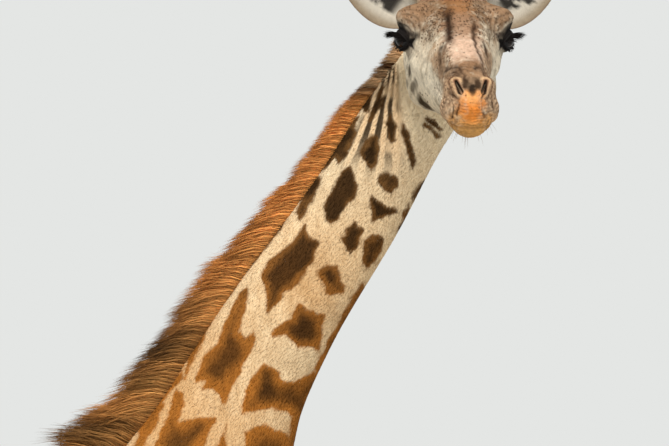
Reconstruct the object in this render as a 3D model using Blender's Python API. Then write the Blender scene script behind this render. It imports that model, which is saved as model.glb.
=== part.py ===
"""A standing cow giraffe at life size, parted by thin cuts into the pieces that a person would name.

Metres, +Z up. The animal faces -Y, so its left side is at +X. Places on the body are given as
(across, forward, up): across is positive to the animal's left, forward is measured from the middle of
the trunk, up from the ground. The head has a frame of its own, (left, along, up), measured from the
point midway between the eyes.
"""

import math

import bmesh
import bpy
import numpy as np
from mathutils import Matrix, Vector

# ---- driving dimensions --------------------------------------------------------------------------

# The origin lies under the middle of the whole outline, and the turned head widens it.
ORIGIN_ACROSS = -0.157
ORIGIN_FORWARD = 0.477
GAP = 0.0003  # between pieces parted by a flat cut
FIT_GAP = 0.001  # around a part that is fitted to a rounded one

EYE_LINE = (-0.28, 1.595, 3.903)  # midway between the eyes
HEAD_TURN = math.radians(84.5)  # the head looks out over the right shoulder
HEAD_DIP = math.radians(21.5)

EYE_CENTRE = (0.105, 0.002, 0.000)
EYE_RADIUS = 0.026
CORONET = 0.122  # height at which hide ends and hoof begins
CLAW_PARTING = 0.008  # between the two claws of a foot

FACET_SAG = 0.003  # smoothing and facets draw a round form in by this much, so it is given back
BODY_VOXEL = 0.012
HEAD_VOXEL = 0.005
BODY_TRIANGLES = 3780
HEAD_TRIANGLES = 1500

COLOURS = {
    "hide": (0.62, 0.44, 0.27),
    "mane": (0.36, 0.15, 0.05),
    "dark_hair": (0.03, 0.02, 0.015),
    "horn": (0.30, 0.20, 0.12),
    "hoof": (0.10, 0.08, 0.06),
    "eye": (0.012, 0.009, 0.008),
}
ROUGHNESS = {"hide": 0.75, "mane": 0.7, "dark_hair": 0.55, "horn": 0.7, "hoof": 0.5, "eye": 0.08}

# ---- sections of the body ------------------------------------------------------------------------
# A row is one cross-section: a point on the upper or front outline (forward, up), the point across
# from it on the lower or back outline, the half width, and how much narrower the section is at its
# upper or front end.

TRUNK = [
    (-0.745, 2.05, -0.775, 1.93, 0.060, 0.10),
    (-0.700, 2.12, -0.740, 1.85, 0.150, 0.15),
    (-0.560, 2.205, -0.560, 1.79, 0.215, 0.22),
    (-0.330, 2.270, -0.310, 1.715, 0.262, 0.20),
    (-0.060, 2.345, -0.040, 1.605, 0.300, 0.17),
    (0.170, 2.445, 0.180, 1.535, 0.305, 0.20),
    (0.360, 2.545, 0.390, 1.515, 0.270, 0.30),
    (0.500, 2.610, 0.600, 1.590, 0.225, 0.34),
    (0.600, 2.675, 0.790, 1.800, 0.185, 0.28),
    (0.680, 2.770, 0.900, 2.070, 0.155, 0.18),
    (0.770, 2.890, 0.990, 2.360, 0.132, 0.12),
    (0.855, 3.005, 1.100, 2.660, 0.110, 0.10),
    (0.936, 3.110, 1.216, 2.925, 0.095, 0.08),
    (1.019, 3.240, 1.260, 3.085, 0.085, 0.08),
    (1.100, 3.360, 1.318, 3.215, 0.078, 0.08),
]
# The top of the neck turns towards the head: (across, forward, up) of the crest and of the throat,
# half width, turn.
NECK_TOP = [
    ((-0.004, 1.295, 3.622), (-0.004, 1.482, 3.498), 0.067, 3),
    ((-0.016, 1.405, 3.787), (-0.020, 1.568, 3.664), 0.063, 12),
    ((-0.038, 1.491, 3.896), (-0.042, 1.630, 3.768), 0.062, 30),
    ((-0.070, 1.540, 3.986), (-0.085, 1.642, 3.818), 0.066, 55),
    ((-0.128, 1.576, 4.030), (-0.130, 1.612, 3.840), 0.068, 76),
    ((-0.195, 1.590, 4.026), (-0.175, 1.600, 3.865), 0.060, 84.5),
]
FORELEG = [
    (0.430, 2.390, 0.300, 2.370, 0.035, 0.130),
    (0.560, 2.240, 0.220, 2.190, 0.060, 0.168),
    (0.700, 2.020, 0.235, 1.960, 0.078, 0.186),
    (0.745, 1.850, 0.285, 1.740, 0.088, 0.190),
    (0.700, 1.700, 0.330, 1.600, 0.088, 0.190),
    (0.620, 1.560, 0.350, 1.500, 0.078, 0.186),
    (0.592, 1.400, 0.395, 1.380, 0.066, 0.180),
    (0.570, 1.220, 0.424, 1.210, 0.053, 0.174),
    (0.558, 1.050, 0.440, 1.045, 0.046, 0.168),
    (0.568, 0.955, 0.434, 0.955, 0.054, 0.165),
    (0.572, 0.890, 0.428, 0.880, 0.055, 0.163),
    (0.556, 0.815, 0.446, 0.810, 0.046, 0.161),
    (0.542, 0.720, 0.455, 0.715, 0.037, 0.160),
    (0.537, 0.480, 0.458, 0.475, 0.034, 0.158),
    (0.542, 0.310, 0.454, 0.300, 0.039, 0.157),
    (0.560, 0.225, 0.440, 0.208, 0.050, 0.157),
    (0.582, 0.165, 0.458, 0.145, 0.047, 0.157),
    (0.612, 0.118, 0.462, 0.108, 0.060, 0.157),
    (0.620, 0.085, 0.460, 0.085, 0.058, 0.157),
]
HINDLEG = [
    (-0.400, 2.120, -0.640, 2.080, 0.050, 0.120),
    (-0.290, 1.960, -0.745, 1.960, 0.092, 0.152),
    (-0.215, 1.780, -0.785, 1.830, 0.108, 0.168),
    (-0.180, 1.620, -0.780, 1.680, 0.104, 0.178),
    (-0.192, 1.480, -0.738, 1.500, 0.092, 0.182),
    (-0.262, 1.350, -0.682, 1.330, 0.074, 0.178),
    (-0.370, 1.225, -0.668, 1.190, 0.058, 0.172),
    (-0.470, 1.110, -0.690, 1.090, 0.048, 0.167),
    (-0.540, 1.020, -0.728, 1.035, 0.046, 0.164),
    (-0.566, 0.940, -0.722, 0.965, 0.050, 0.162),
    (-0.578, 0.850, -0.694, 0.860, 0.046, 0.161),
    (-0.580, 0.740, -0.672, 0.740, 0.039, 0.160),
    (-0.572, 0.480, -0.655, 0.475, 0.034, 0.158),
    (-0.562, 0.310, -0.652, 0.300, 0.039, 0.157),
    (-0.540, 0.225, -0.660, 0.208, 0.050, 0.157),
    (-0.516, 0.165, -0.640, 0.145, 0.047, 0.157),
    (-0.484, 0.118, -0.634, 0.108, 0.060, 0.157),
    (-0.476, 0.085, -0.636, 0.085, 0.058, 0.157),
]
STRIDE = {"foreleg_left": 0.06, "foreleg_right": -0.03, "hindleg_left": -0.05, "hindleg_right": 0.05}

# Head sections: along, top, bottom, half width, how much narrower at the top, and roundness.
HEAD = [
    (-0.228, 0.035, -0.020, 0.030, 0.00, 1.00),
    (-0.212, 0.057, -0.058, 0.056, 0.00, 1.00),
    (-0.170, 0.089, -0.110, 0.079, 0.05, 0.95),
    (-0.110, 0.109, -0.158, 0.091, 0.06, 0.90),
    (-0.050, 0.111, -0.173, 0.098, 0.00, 0.86),
    (0.000, 0.098, -0.174, 0.098, -0.04, 0.86),
    (0.060, 0.082, -0.162, 0.089, -0.06, 0.86),
    (0.120, 0.068, -0.142, 0.076, -0.06, 0.84),
    (0.180, 0.056, -0.121, 0.063, -0.04, 0.82),
    (0.240, 0.045, -0.104, 0.054, 0.02, 0.82),
    (0.285, 0.036, -0.096, 0.051, 0.10, 0.86),
    (0.325, 0.026, -0.103, 0.053, 0.14, 0.88),
    (0.355, 0.010, -0.103, 0.050, 0.10, 0.92),
    (0.376, -0.012, -0.090, 0.039, 0.05, 0.96),
    (0.387, -0.034, -0.070, 0.020, 0.00, 1.00),
]
# Swellings and hollows of the head: centre (left, along, up), how far each reaches, and its height.
# Those off the middle are on both sides.
SWELLINGS = [
    ((0.098, -0.002, 0.012), (0.060, 0.075, 0.062), 0.027),  # orbit
    ((0.095, -0.008, 0.050), (0.052, 0.060, 0.042), 0.034),  # brow
    ((0.084, 0.000, -0.138), (0.055, 0.100, 0.065), 0.020),  # corner of the jaw
    ((0.090, -0.085, -0.085), (0.050, 0.090, 0.080), 0.011),  # chewing muscle
    ((0.090, 0.060, -0.040), (0.040, 0.110, 0.030), 0.009),  # cheekbone ridge
    ((0.074, 0.085, 0.020), (0.045, 0.060, 0.035), -0.008),  # hollow before the eye
    ((0.092, -0.085, 0.020), (0.040, 0.045, 0.050), -0.008),  # temple
    ((0.062, 0.200, -0.050), (0.040, 0.090, 0.045), -0.006),  # hollow of the cheek
    ((0.044, 0.318, -0.002), (0.030, 0.046, 0.034), 0.012),  # wing of the nostril
    ((0.050, 0.330, -0.050), (0.040, 0.055, 0.040), 0.012),  # upper lip
    ((0.000, 0.345, -0.104), (0.050, 0.045, 0.030), 0.008),  # chin
    ((0.000, -0.045, 0.112), (0.055, 0.085, 0.060), 0.022),  # forehead boss
    ((0.050, -0.102, 0.112), (0.042, 0.052, 0.050), 0.020),  # foot of the horn
]

OSSICONE_FOOT = (0.042, -0.072, 0.058)
OSSICONE_TIP = (0.063, -0.142, 0.230)
# Share of the horn's length and radius there.
OSSICONE = [
    (0.00, 0.0380),
    (0.22, 0.0340),
    (0.42, 0.0235),
    (0.60, 0.0195),
    (0.80, 0.0205),
    (0.94, 0.0215),
    (1.00, 0.0120),
]

EAR_ROOT = (0.084, -0.112, 0.018)
EAR_TIP = (0.266, -0.150, 0.130)
EAR_FACING = (0.20, 0.93, 0.30)  # the way the open side looks
EAR_HALF_WIDTH = 0.061
EAR_THICKNESS = 0.010
EAR_HOLLOW = 0.030  # how far the edges come forward of the middle at the foot
EAR_BOW = -0.010
EAR_STEPS = 10
EAR_CORNERS = 7  # across one face

TAIL_LINE = [
    (-0.735, 2.085, 0.034),
    (-0.790, 2.060, 0.030),
    (-0.826, 1.960, 0.024),
    (-0.838, 1.800, 0.020),
    (-0.842, 1.600, 0.017),
    (-0.845, 1.400, 0.014),
    (-0.848, 1.270, 0.013),
    (-0.850, 1.190, 0.030),
    (-0.853, 1.080, 0.044),
    (-0.856, 0.940, 0.042),
    (-0.858, 0.800, 0.028),
    (-0.860, 0.690, 0.007),
]
TAIL_HAIR = 1.270  # below this the tail is a tuft of long hair
# The mane: how far up the crest from the withers as a share, then height and half width.
MANE = [
    (0.000, 0.010, 0.007),
    (0.060, 0.026, 0.011),
    (0.120, 0.055, 0.017),
    (0.180, 0.082, 0.023),
    (0.245, 0.113, 0.027),
    (0.300, 0.113, 0.027),
    (0.375, 0.095, 0.027),
    (0.447, 0.082, 0.026),
    (0.558, 0.075, 0.024),
    (0.678, 0.056, 0.022),
    (0.770, 0.044, 0.020),
    (0.853, 0.025, 0.018),
    (0.926, 0.023, 0.017),
    (0.972, 0.020, 0.014),
    (1.000, 0.014, 0.008),
]
MANE_RINGS = (42, 93)  # of the trunk and neck's rings, from the withers to the poll
MANE_ROOT = 0.018  # how far the mane's foot is sunk before it is fitted to the neck

# One claw of a forefoot: height, heel, toe, width.
HOOF = [
    (0.000, 0.432, 0.640, 0.069),
    (0.010, 0.430, 0.641, 0.070),
    (0.065, 0.445, 0.626, 0.064),
    (CORONET - GAP / 2, 0.462, 0.606, 0.055),
]
HOOF_CORNERS = 14
HIND_FOOT_BACK = 1.096  # how far the hind feet stand behind the forefeet
FOOT_ACROSS = 0.157
BODY_RINGS = 96

# ---- frames --------------------------------------------------------------------------------------


def place(across, forward, up):
    """A place on the body in the model's frame."""
    return Vector((across - ORIGIN_ACROSS, ORIGIN_FORWARD - forward, up))


def head_frame():
    """The matrix that carries the head's (left, along, up) into the model's frame."""
    level = math.cos(HEAD_DIP)
    along = Vector((-math.sin(HEAD_TURN) * level, -math.cos(HEAD_TURN) * level, -math.sin(HEAD_DIP)))
    left = Vector((math.cos(HEAD_TURN), -math.sin(HEAD_TURN), 0))
    frame = Matrix((left, along, along.cross(left))).transposed().to_4x4()
    frame.translation = place(*EYE_LINE)
    return frame


HEAD_FRAME = head_frame()

# ---- lofting -------------------------------------------------------------------------------------


def smoothed(rows, count):
    """Rows read at even steps along a smooth curve through them. The first three columns set the spacing."""
    rows = np.array(rows, float)
    steps = np.linalg.norm(np.diff(rows[:, :3], axis=0), axis=1)
    at = np.concatenate([[0], np.cumsum(steps)])
    slopes = np.gradient(rows, at, axis=0)
    wanted = np.linspace(0, at[-1], count)
    i = np.clip(np.searchsorted(at, wanted, side="right") - 1, 0, len(at) - 2)
    span = (at[i + 1] - at[i])[:, None]
    t = ((wanted - at[i]) / span[:, 0])[:, None]
    return (
        rows[i] * (1 + 2 * t) * (1 - t) ** 2
        + slopes[i] * span * t * (1 - t) ** 2
        + rows[i + 1] * t * t * (3 - 2 * t)
        + slopes[i + 1] * span * t * t * (t - 1)
    )


def ring(first, second, side, half_width, narrowing=0.0, roundness=1.0, corners=32):
    """A closed section from first to second, half_width to each side.

    Roundness 1 is an ellipse, less is squarer.
    """
    middle, half = (first + second) / 2, (first - second) / 2
    points = []
    for k in range(corners):
        angle = 2 * math.pi * k / corners
        u, v = math.cos(angle), math.sin(angle)
        u = math.copysign(abs(u) ** roundness, u) * (1 - narrowing * v)
        v = math.copysign(abs(v) ** roundness, v)
        points.append(middle + side * (half_width * u) + half * v)
    return points


def loft(rings):
    """A closed bmesh through rings of equal corner count."""
    bm = bmesh.new()
    loops = [[bm.verts.new(p) for p in points] for points in rings]
    for low, high in zip(loops, loops[1:]):
        for k in range(len(low)):
            after = (k + 1) % len(low)
            bm.faces.new((low[k], low[after], high[after], high[k]))
    bm.faces.new(loops[0])
    bm.faces.new(loops[-1])
    return facing_out(bm)


def facing_out(bm):
    bmesh.ops.recalc_face_normals(bm, faces=bm.faces)
    if bm.calc_volume(signed=True) < 0:
        bmesh.ops.reverse_faces(bm, faces=bm.faces)
    return bm


def ball(radius, centre):
    bm = bmesh.new()
    bmesh.ops.create_icosphere(bm, subdivisions=2, radius=radius, matrix=Matrix.Translation(centre))
    return bm


def body_rows():
    """Sections from the rump to the head: crest, throat, the way to the side, half width, narrowing."""
    rows = [(0, f1, u1, 0, f2, u2, half, narrow, 0) for f1, u1, f2, u2, half, narrow in TRUNK]
    rows += [(*crest, *throat, half, 0.0, turn) for crest, throat, half, turn in NECK_TOP]
    sections = []
    for row in smoothed(rows, BODY_RINGS):
        turn = math.radians(row[8])
        side = Vector((math.cos(turn), -math.sin(turn), 0))
        sections.append((place(*row[:3]), place(*row[3:6]), side, row[6], row[7]))
    return sections


def trunk_and_neck(first=0):
    """One loft from the rump through chest and neck into the head, or its end from the first ring on."""
    return loft([ring(*section, 0.96, 36) for section in body_rows()[first:]])


def lean(stride, up, top):
    """How far forward a stride carries the place at that height on a leg."""
    return stride * (1 - min(1, up / top)) ** 0.8


def leg(rows, sign, stride, count=64):
    """A leg: the stride moves its foot forward and leaves its top where it is."""
    rings = []
    for f1, u1, f2, u2, half, across in smoothed(rows, count):
        shift = lean(stride, (u1 + u2) / 2, rows[0][1])
        first = place(sign * across, f1 + shift, u1)
        second = place(sign * across, f2 + shift, u2)
        rings.append(ring(first, second, Vector((1, 0, 0)), half, 0.0, 0.95, 28))
    return loft(rings)


def head_loft():
    """The head's form: a loft along its sections, swollen and hollowed."""
    rings = []
    for along, top, bottom, half, narrow, roundness in smoothed(HEAD, 100):
        first = Vector((0, along, top))
        second = Vector((0, along, bottom))
        rings.append(ring(first, second, Vector((1, 0, 0)), half, narrow, roundness, 96))
    bm = loft(rings)
    for vert in bm.verts:
        push = 0
        for centre, reach, height in SWELLINGS:
            x = abs(vert.co.x) if centre[0] else vert.co.x
            away = [(a - c) / r for a, c, r in zip((x, vert.co.y, vert.co.z), centre, reach)]
            push += height * max(0, 1 - sum(a * a for a in away)) ** 2
        vert.co += vert.normal * push
    bm.transform(HEAD_FRAME)
    return facing_out(bm)


# ---- objects -------------------------------------------------------------------------------------


def clear_scene():
    for obj in list(bpy.data.objects):
        bpy.data.objects.remove(obj)


def material(name):
    made = bpy.data.materials.get(name) or bpy.data.materials.new(name)
    made.use_nodes = True
    shader = made.node_tree.nodes["Principled BSDF"]
    shader.inputs["Base Color"].default_value = (*COLOURS[name], 1)
    shader.inputs["Roughness"].default_value = ROUGHNESS[name]
    return made


def add(name, bm, finish):
    """A bmesh as a named object with its own material."""
    mesh = bpy.data.meshes.new(name)
    bm.to_mesh(mesh)
    bm.free()
    mesh.materials.append(material(finish))
    mesh.shade_smooth()
    obj = bpy.data.objects.new(name, mesh)
    bpy.context.scene.collection.objects.link(obj)
    return obj


def evaluated(obj):
    """The object's shape with its modifiers, as a bmesh, and the object gone."""
    graph = bpy.context.evaluated_depsgraph_get()
    bm = bmesh.new()
    bm.from_object(obj, graph)
    bpy.data.objects.remove(obj)
    return bm


def fused(shapes, voxel, smoothing, triangles):
    """Overlapping closed shapes as one smooth faceted body of about that many triangles."""
    whole = bmesh.new()
    for shape in shapes:
        mesh = bpy.data.meshes.new("part")
        shape.to_mesh(mesh)
        shape.free()
        whole.from_mesh(mesh)
        bpy.data.meshes.remove(mesh)
    obj = add("fused", whole, "hide")
    remesh = obj.modifiers.new("remesh", "REMESH")
    remesh.mode = "VOXEL"
    remesh.voxel_size = voxel
    smooth = obj.modifiers.new("smooth", "SMOOTH")
    smooth.factor, smooth.iterations = 0.5, smoothing
    plump = obj.modifiers.new("plump", "DISPLACE")
    plump.strength, plump.mid_level = FACET_SAG, 0.0
    body = evaluated(obj)
    count = sum(len(face.verts) - 2 for face in body.faces)
    obj = add("fused", body, "hide")
    thin = obj.modifiers.new("thin", "DECIMATE")
    thin.ratio = triangles / count
    return evaluated(obj)


def cut(bm, point, normal):
    """The two closed parts of a body on either side of a plane, each kept half the gap away from it."""
    normal = normal.normalized()
    parts = []
    for way in (1, -1):
        part = bm.copy()
        bmesh.ops.bisect_plane(
            part,
            geom=part.verts[:] + part.edges[:] + part.faces[:],
            plane_co=point + normal * (way * GAP / 2),
            plane_no=normal * way,
            clear_inner=True,
        )
        bmesh.ops.holes_fill(part, edges=[e for e in part.edges if e.is_boundary], sides=0)
        bmesh.ops.recalc_face_normals(part, faces=part.faces)
        parts.append(part)
    bm.free()
    return parts


def islands(bm):
    """Each connected body of a bmesh, as bmeshes of their own."""
    found, left = [], set(bm.verts)
    while left:
        stack, island = [left.pop()], set()
        while stack:
            vert = stack.pop()
            island.add(vert)
            for edge in vert.link_edges:
                other = edge.other_vert(vert)
                if other in left:
                    left.discard(other)
                    stack.append(other)
        indices = {v.index for v in island}
        part = bm.copy()
        part.verts.ensure_lookup_table()
        bmesh.ops.delete(part, geom=[v for v in part.verts if v.index not in indices], context="VERTS")
        found.append(part)
    bm.free()
    return found


def middle_of(bm):
    return sum((v.co for v in bm.verts), Vector()) / len(bm.verts)


def subtract(obj, *cutters):
    """Cuts the cutters, grown by the gap, out of obj."""
    for cutter in cutters:
        grown = cutter.copy()
        grown.data = cutter.data.copy()
        bpy.context.scene.collection.objects.link(grown)
        grow = grown.modifiers.new("grow", "DISPLACE")
        grow.strength, grow.mid_level = FIT_GAP, 0.0
        grown.hide_render = True
        grown.display_type = "WIRE"
        carve = obj.modifiers.new("carve", "BOOLEAN")
        carve.operation, carve.object = "DIFFERENCE", grown
        carve.use_self = True
        graph = bpy.context.evaluated_depsgraph_get()
        mesh = bpy.data.meshes.new_from_object(obj.evaluated_get(graph))
        obj.modifiers.clear()
        obj.data = mesh
        bpy.data.objects.remove(grown)


def keep_largest(obj):
    """Drops the slivers that a cut may leave beside the main body."""
    bm = bmesh.new()
    bm.from_mesh(obj.data)
    bm.verts.index_update()
    parts = sorted(islands(bm), key=lambda part: abs(part.calc_volume()))
    parts[-1].to_mesh(obj.data)
    for part in parts:
        part.free()


# ---- flesh ---------------------------------------------------------------------------------------

# Each cut is a point of its plane and the way the plane faces.
HEAD_CUT = (place(-0.120, 1.550, 3.810), Vector((-0.80, -0.25, 0.55)))
NECK_CUT = (place(0, 1.195, 3.360), Vector((0, -0.559, 0.829)))
NECK_BASE_CUT = (place(0, 0.790, 2.415), Vector((0, -0.80, 0.60)))
LEG_CUT = (place(0, 0, 1.470), Vector((0, 0, 1)))
KNEE_CUT = (place(0, 0, 0.880), Vector((0, 0, 1)))


def flesh():
    """The body without its head, parted. The whole of it, uncut, is handed back to fit other parts to."""
    shapes = [trunk_and_neck(), head_loft()]
    for sign, side in ((1, "left"), (-1, "right")):
        shapes.append(leg(FORELEG, sign, STRIDE[f"foreleg_{side}"]))
        shapes.append(leg(HINDLEG, sign, STRIDE[f"hindleg_{side}"]))
    body = fused(shapes, BODY_VOXEL, 6, BODY_TRIANGLES)
    whole = add("whole", body.copy(), "hide")
    body, foot = cut(body, Vector((0, 0, CORONET)), Vector((0, 0, 1)))
    scrap, body = cut(body, *HEAD_CUT)
    upper, body = cut(body, *NECK_CUT)
    add("neck_upper", upper, "hide")
    lower, body = cut(body, *NECK_BASE_CUT)
    add("neck_lower", lower, "hide")
    trunk, legs = cut(body, *LEG_CUT)
    add("trunk", trunk, "hide")
    for part in islands(legs):
        centre = middle_of(part)
        leg_name = "foreleg" if centre.y < ORIGIN_FORWARD else "hindleg"
        side = "left" if centre.x > place(0, 0, 0).x else "right"
        above, below = cut(part, *KNEE_CUT)
        add(f"{leg_name}_upper_{side}", above, "hide")
        add(f"{leg_name}_lower_{side}", below, "hide")
    foot.free()
    scrap.free()
    return whole


def head():
    shapes = [trunk_and_neck(first=80), head_loft()]
    body = fused(shapes, HEAD_VOXEL, 5, HEAD_TRIANGLES)
    body, scrap = cut(body, *HEAD_CUT)
    scrap.free()
    obj = add("head", body, "hide")
    eyes = []
    for sign, side in ((1, "left"), (-1, "right")):
        centre = HEAD_FRAME @ Vector((sign * EYE_CENTRE[0], *EYE_CENTRE[1:]))
        eyes.append(add(f"eye_{side}", ball(EYE_RADIUS, centre), "eye"))
    subtract(obj, *eyes)
    keep_largest(obj)
    return obj


def ear(sign):
    """A leaf with a rolled foot, its hollow looking forward."""
    root, tip = Vector(EAR_ROOT), Vector(EAR_TIP)
    reach = tip - root
    facing = Vector(EAR_FACING)
    across = reach.cross(facing).normalized()
    facing = across.cross(reach).normalized()
    rings = []
    for k in range(EAR_STEPS + 1):
        t = k / EAR_STEPS
        half = EAR_HALF_WIDTH * max(0.06, math.sin(math.pi * (0.12 + 0.88 * t**0.8)) ** 0.85)
        hollow = EAR_HOLLOW * (1 - t) ** 0.7 + 0.006
        middle = root + reach * t + facing * (EAR_BOW * math.sin(math.pi * t))
        thick = EAR_THICKNESS * (1.5 - 0.9 * t)
        front, back = [], []
        for j in range(EAR_CORNERS):
            v = 2 * j / (EAR_CORNERS - 1) - 1
            edge = middle + across * (half * v) + facing * (hollow * v * v)
            rim = math.sqrt(max(0, 1 - v * v)) * 0.8 + 0.2
            front.append(edge + facing * (thick * rim / 2))
            back.append(edge - facing * (thick * rim / 2))
        rings.append([Vector((sign * p.x, p.y, p.z)) for p in front + back[::-1]])
    bm = loft(rings)
    bm.transform(HEAD_FRAME)
    return facing_out(bm)


def ossicone(sign):
    """A horn of bone under hide, knobbed at its tip."""
    foot, tip = Vector(OSSICONE_FOOT), Vector(OSSICONE_TIP)
    ahead = (tip - foot).normalized()
    side = ahead.orthogonal().normalized()
    second = ahead.cross(side)
    rings = []
    for share, radius in OSSICONE:
        here = foot.lerp(tip, share)
        points = ring(here + second * radius, here - second * radius, side, radius, corners=12)
        rings.append([Vector((sign * p.x, p.y, p.z)) for p in points])
    bm = loft(rings)
    bm.transform(HEAD_FRAME)
    return facing_out(bm)


def tail():
    rings = []
    for f, up, radius in smoothed(TAIL_LINE, 26):
        front, back = place(0, f + radius, up), place(0, f - radius, up)
        rings.append(ring(front, back, Vector((1, 0, 0)), radius, corners=8))
    return loft(rings)


def hoof(sign, claw, shift):
    """One claw of a foot, with sign the side of the body and claw the side of the foot that it is on."""
    rings = []
    for up, heel, toe, width in HOOF:
        middle, half = (toe + heel) / 2, (toe - heel) / 2
        points = []
        for k in range(HOOF_CORNERS):
            angle = 2 * math.pi * k / HOOF_CORNERS
            u, v = math.cos(angle), math.sin(angle)
            flat = 0.9 if u > 0 else 0.5
            out = width * (0.5 + 0.5 * math.copysign(abs(u) ** flat, u) * (1 - 0.12 * v))
            across = sign * FOOT_ACROSS + claw * (CLAW_PARTING / 2 + out)
            points.append(place(across, middle + half * math.copysign(abs(v) ** 0.9, v) + shift, up))
        rings.append(points)
    return loft(rings)


def mane():
    """The crest of hair along the top of the neck, its foot sunk in the neck."""
    sections = body_rows()[MANE_RINGS[0] : MANE_RINGS[1] : 2]
    shares = np.linspace(0, 1, len(sections))
    heights = np.interp(shares, [m[0] for m in MANE], [m[1] for m in MANE])
    widths = np.interp(shares, [m[0] for m in MANE], [m[2] for m in MANE])
    rings = []
    for (crest, throat, side, _, _), height, half in zip(sections, heights, widths):
        out = (crest - throat).normalized()
        rings.append(ring(crest + out * height, crest - out * MANE_ROOT, side, half, 0.35, 0.9, 8))
    return loft(rings)


def fit_parts(whole, skull):
    """The parts that stand on the body and the head, each cut to what it stands on."""
    crest = add("mane", mane(), "mane")
    subtract(crest, whole, skull)
    keep_largest(crest)
    bm = tail()
    root, tuft = cut(bm, Vector((0, 0, TAIL_HAIR)), Vector((0, 0, 1)))
    add("tail_tuft", tuft, "dark_hair")
    root = add("tail", root, "hide")
    subtract(root, whole)
    keep_largest(root)
    for sign, side in ((1, "left"), (-1, "right")):
        horn = add(f"ossicone_{side}", ossicone(sign), "horn")
        subtract(horn, skull)
        keep_largest(horn)
        leaf = add(f"ear_{side}", ear(sign), "hide")
        subtract(leaf, skull, horn)
        keep_largest(leaf)


def hooves():
    for sign, side in ((1, "left"), (-1, "right")):
        for leg_name, rows, back in (("foreleg", FORELEG, 0), ("hindleg", HINDLEG, HIND_FOOT_BACK)):
            shift = lean(STRIDE[f"{leg_name}_{side}"], CORONET, rows[0][1]) - back
            for claw, where in ((sign, "outer"), (-sign, "inner")):
                name = f"hoof_{leg_name[:4]}_{side}_{where}"
                add(name, hoof(sign, claw, shift), "hoof")


def main():
    clear_scene()
    whole = flesh()
    skull = head()
    fit_parts(whole, skull)
    bpy.data.objects.remove(whole)
    hooves()


main()
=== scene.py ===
"""The looks of a standing cow giraffe: one skin under a coat of short tufts, with mane, tail, lashes, eyes,
horns and hooves.

Metres, +Z up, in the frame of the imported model. Places on the body are (across, forward, up), as in the
part's own source. The head has a frame of its own, (left, along, up), from midway between the eyes.
"""

import math

import bmesh
import bpy
import numpy as np
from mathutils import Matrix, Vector
from mathutils.bvhtree import BVHTree
from mathutils.kdtree import KDTree


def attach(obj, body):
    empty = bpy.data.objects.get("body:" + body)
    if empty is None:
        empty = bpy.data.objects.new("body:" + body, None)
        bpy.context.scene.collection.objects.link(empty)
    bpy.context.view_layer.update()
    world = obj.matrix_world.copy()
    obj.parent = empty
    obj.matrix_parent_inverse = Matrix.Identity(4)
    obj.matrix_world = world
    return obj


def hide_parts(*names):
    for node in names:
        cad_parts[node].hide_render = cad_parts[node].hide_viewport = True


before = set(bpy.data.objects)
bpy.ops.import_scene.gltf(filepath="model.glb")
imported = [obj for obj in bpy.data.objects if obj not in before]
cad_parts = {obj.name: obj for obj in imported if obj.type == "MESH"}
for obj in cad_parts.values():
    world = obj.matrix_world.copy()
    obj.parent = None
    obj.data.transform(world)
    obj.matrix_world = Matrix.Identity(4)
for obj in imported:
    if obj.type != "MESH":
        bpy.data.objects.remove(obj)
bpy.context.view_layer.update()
rng = np.random.default_rng(11)

# ---- driving dimensions ------------------------------------------------------------------------

ORIGIN_ACROSS = -0.157
ORIGIN_FORWARD = 0.477
EYE_LINE = (-0.28, 1.595, 3.903)
HEAD_TURN = math.radians(84.5)
HEAD_DIP = math.radians(21.5)
EYE_CENTRE = np.array((0.105, 0.002, 0.0))
EYE_RADIUS = 0.026
CORONET = 0.122
NECK_FROM = 2.90  # height over which the skin is neck and head
LEG_TO = 1.48  # and below which it is leg
SHOULDER_TO = 0.15  # how far back the shoulder's coat runs, in the model's frame

SKIN_VOXEL = 0.017
HOOF_VOXEL = 0.0055
SKIN_SMOOTHING = 4
HOOF_SMOOTHING = 5
COAT_DEPTH = 0.0026  # how far the skin lies inside the flesh's own form
FACE_THINNER = 0.0018  # and how much less on the face
ROOT_DEPTH = 0.0006  # how deep a tuft's foot sits in the skin
BLEND = 0.022  # how softly limbs run into the body
HEAD_BLEND = 0.045  # and the head into the neck

TRUNK = [
    (-0.745, 2.05, -0.775, 1.93, 0.06, 0.1),
    (-0.7, 2.12, -0.74, 1.85, 0.15, 0.15),
    (-0.56, 2.205, -0.56, 1.79, 0.215, 0.22),
    (-0.33, 2.27, -0.31, 1.715, 0.262, 0.2),
    (-0.06, 2.345, -0.04, 1.605, 0.3, 0.17),
    (0.17, 2.445, 0.18, 1.535, 0.305, 0.2),
    (0.36, 2.545, 0.39, 1.515, 0.27, 0.3),
    (0.5, 2.61, 0.6, 1.59, 0.225, 0.34),
    (0.6, 2.675, 0.79, 1.8, 0.185, 0.28),
    (0.68, 2.77, 0.9, 2.07, 0.155, 0.18),
    (0.77, 2.89, 0.99, 2.36, 0.132, 0.12),
    (0.855, 3.005, 1.1, 2.66, 0.11, 0.1),
    (0.936, 3.11, 1.216, 2.925, 0.095, 0.08),
    (1.019, 3.24, 1.26, 3.085, 0.085, 0.08),
    (1.1, 3.36, 1.318, 3.215, 0.078, 0.08),
]
NECK_TOP = [
    ((-0.004, 1.295, 3.622), (-0.004, 1.482, 3.498), 0.067, 3),
    ((-0.016, 1.405, 3.787), (-0.02, 1.568, 3.664), 0.063, 12),
    ((-0.038, 1.491, 3.896), (-0.042, 1.63, 3.768), 0.062, 30),
    ((-0.07, 1.54, 3.986), (-0.085, 1.642, 3.818), 0.066, 55),
    ((-0.128, 1.576, 4.03), (-0.13, 1.612, 3.84), 0.068, 76),
    ((-0.195, 1.59, 4.026), (-0.175, 1.6, 3.865), 0.06, 84.5),
]
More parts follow.
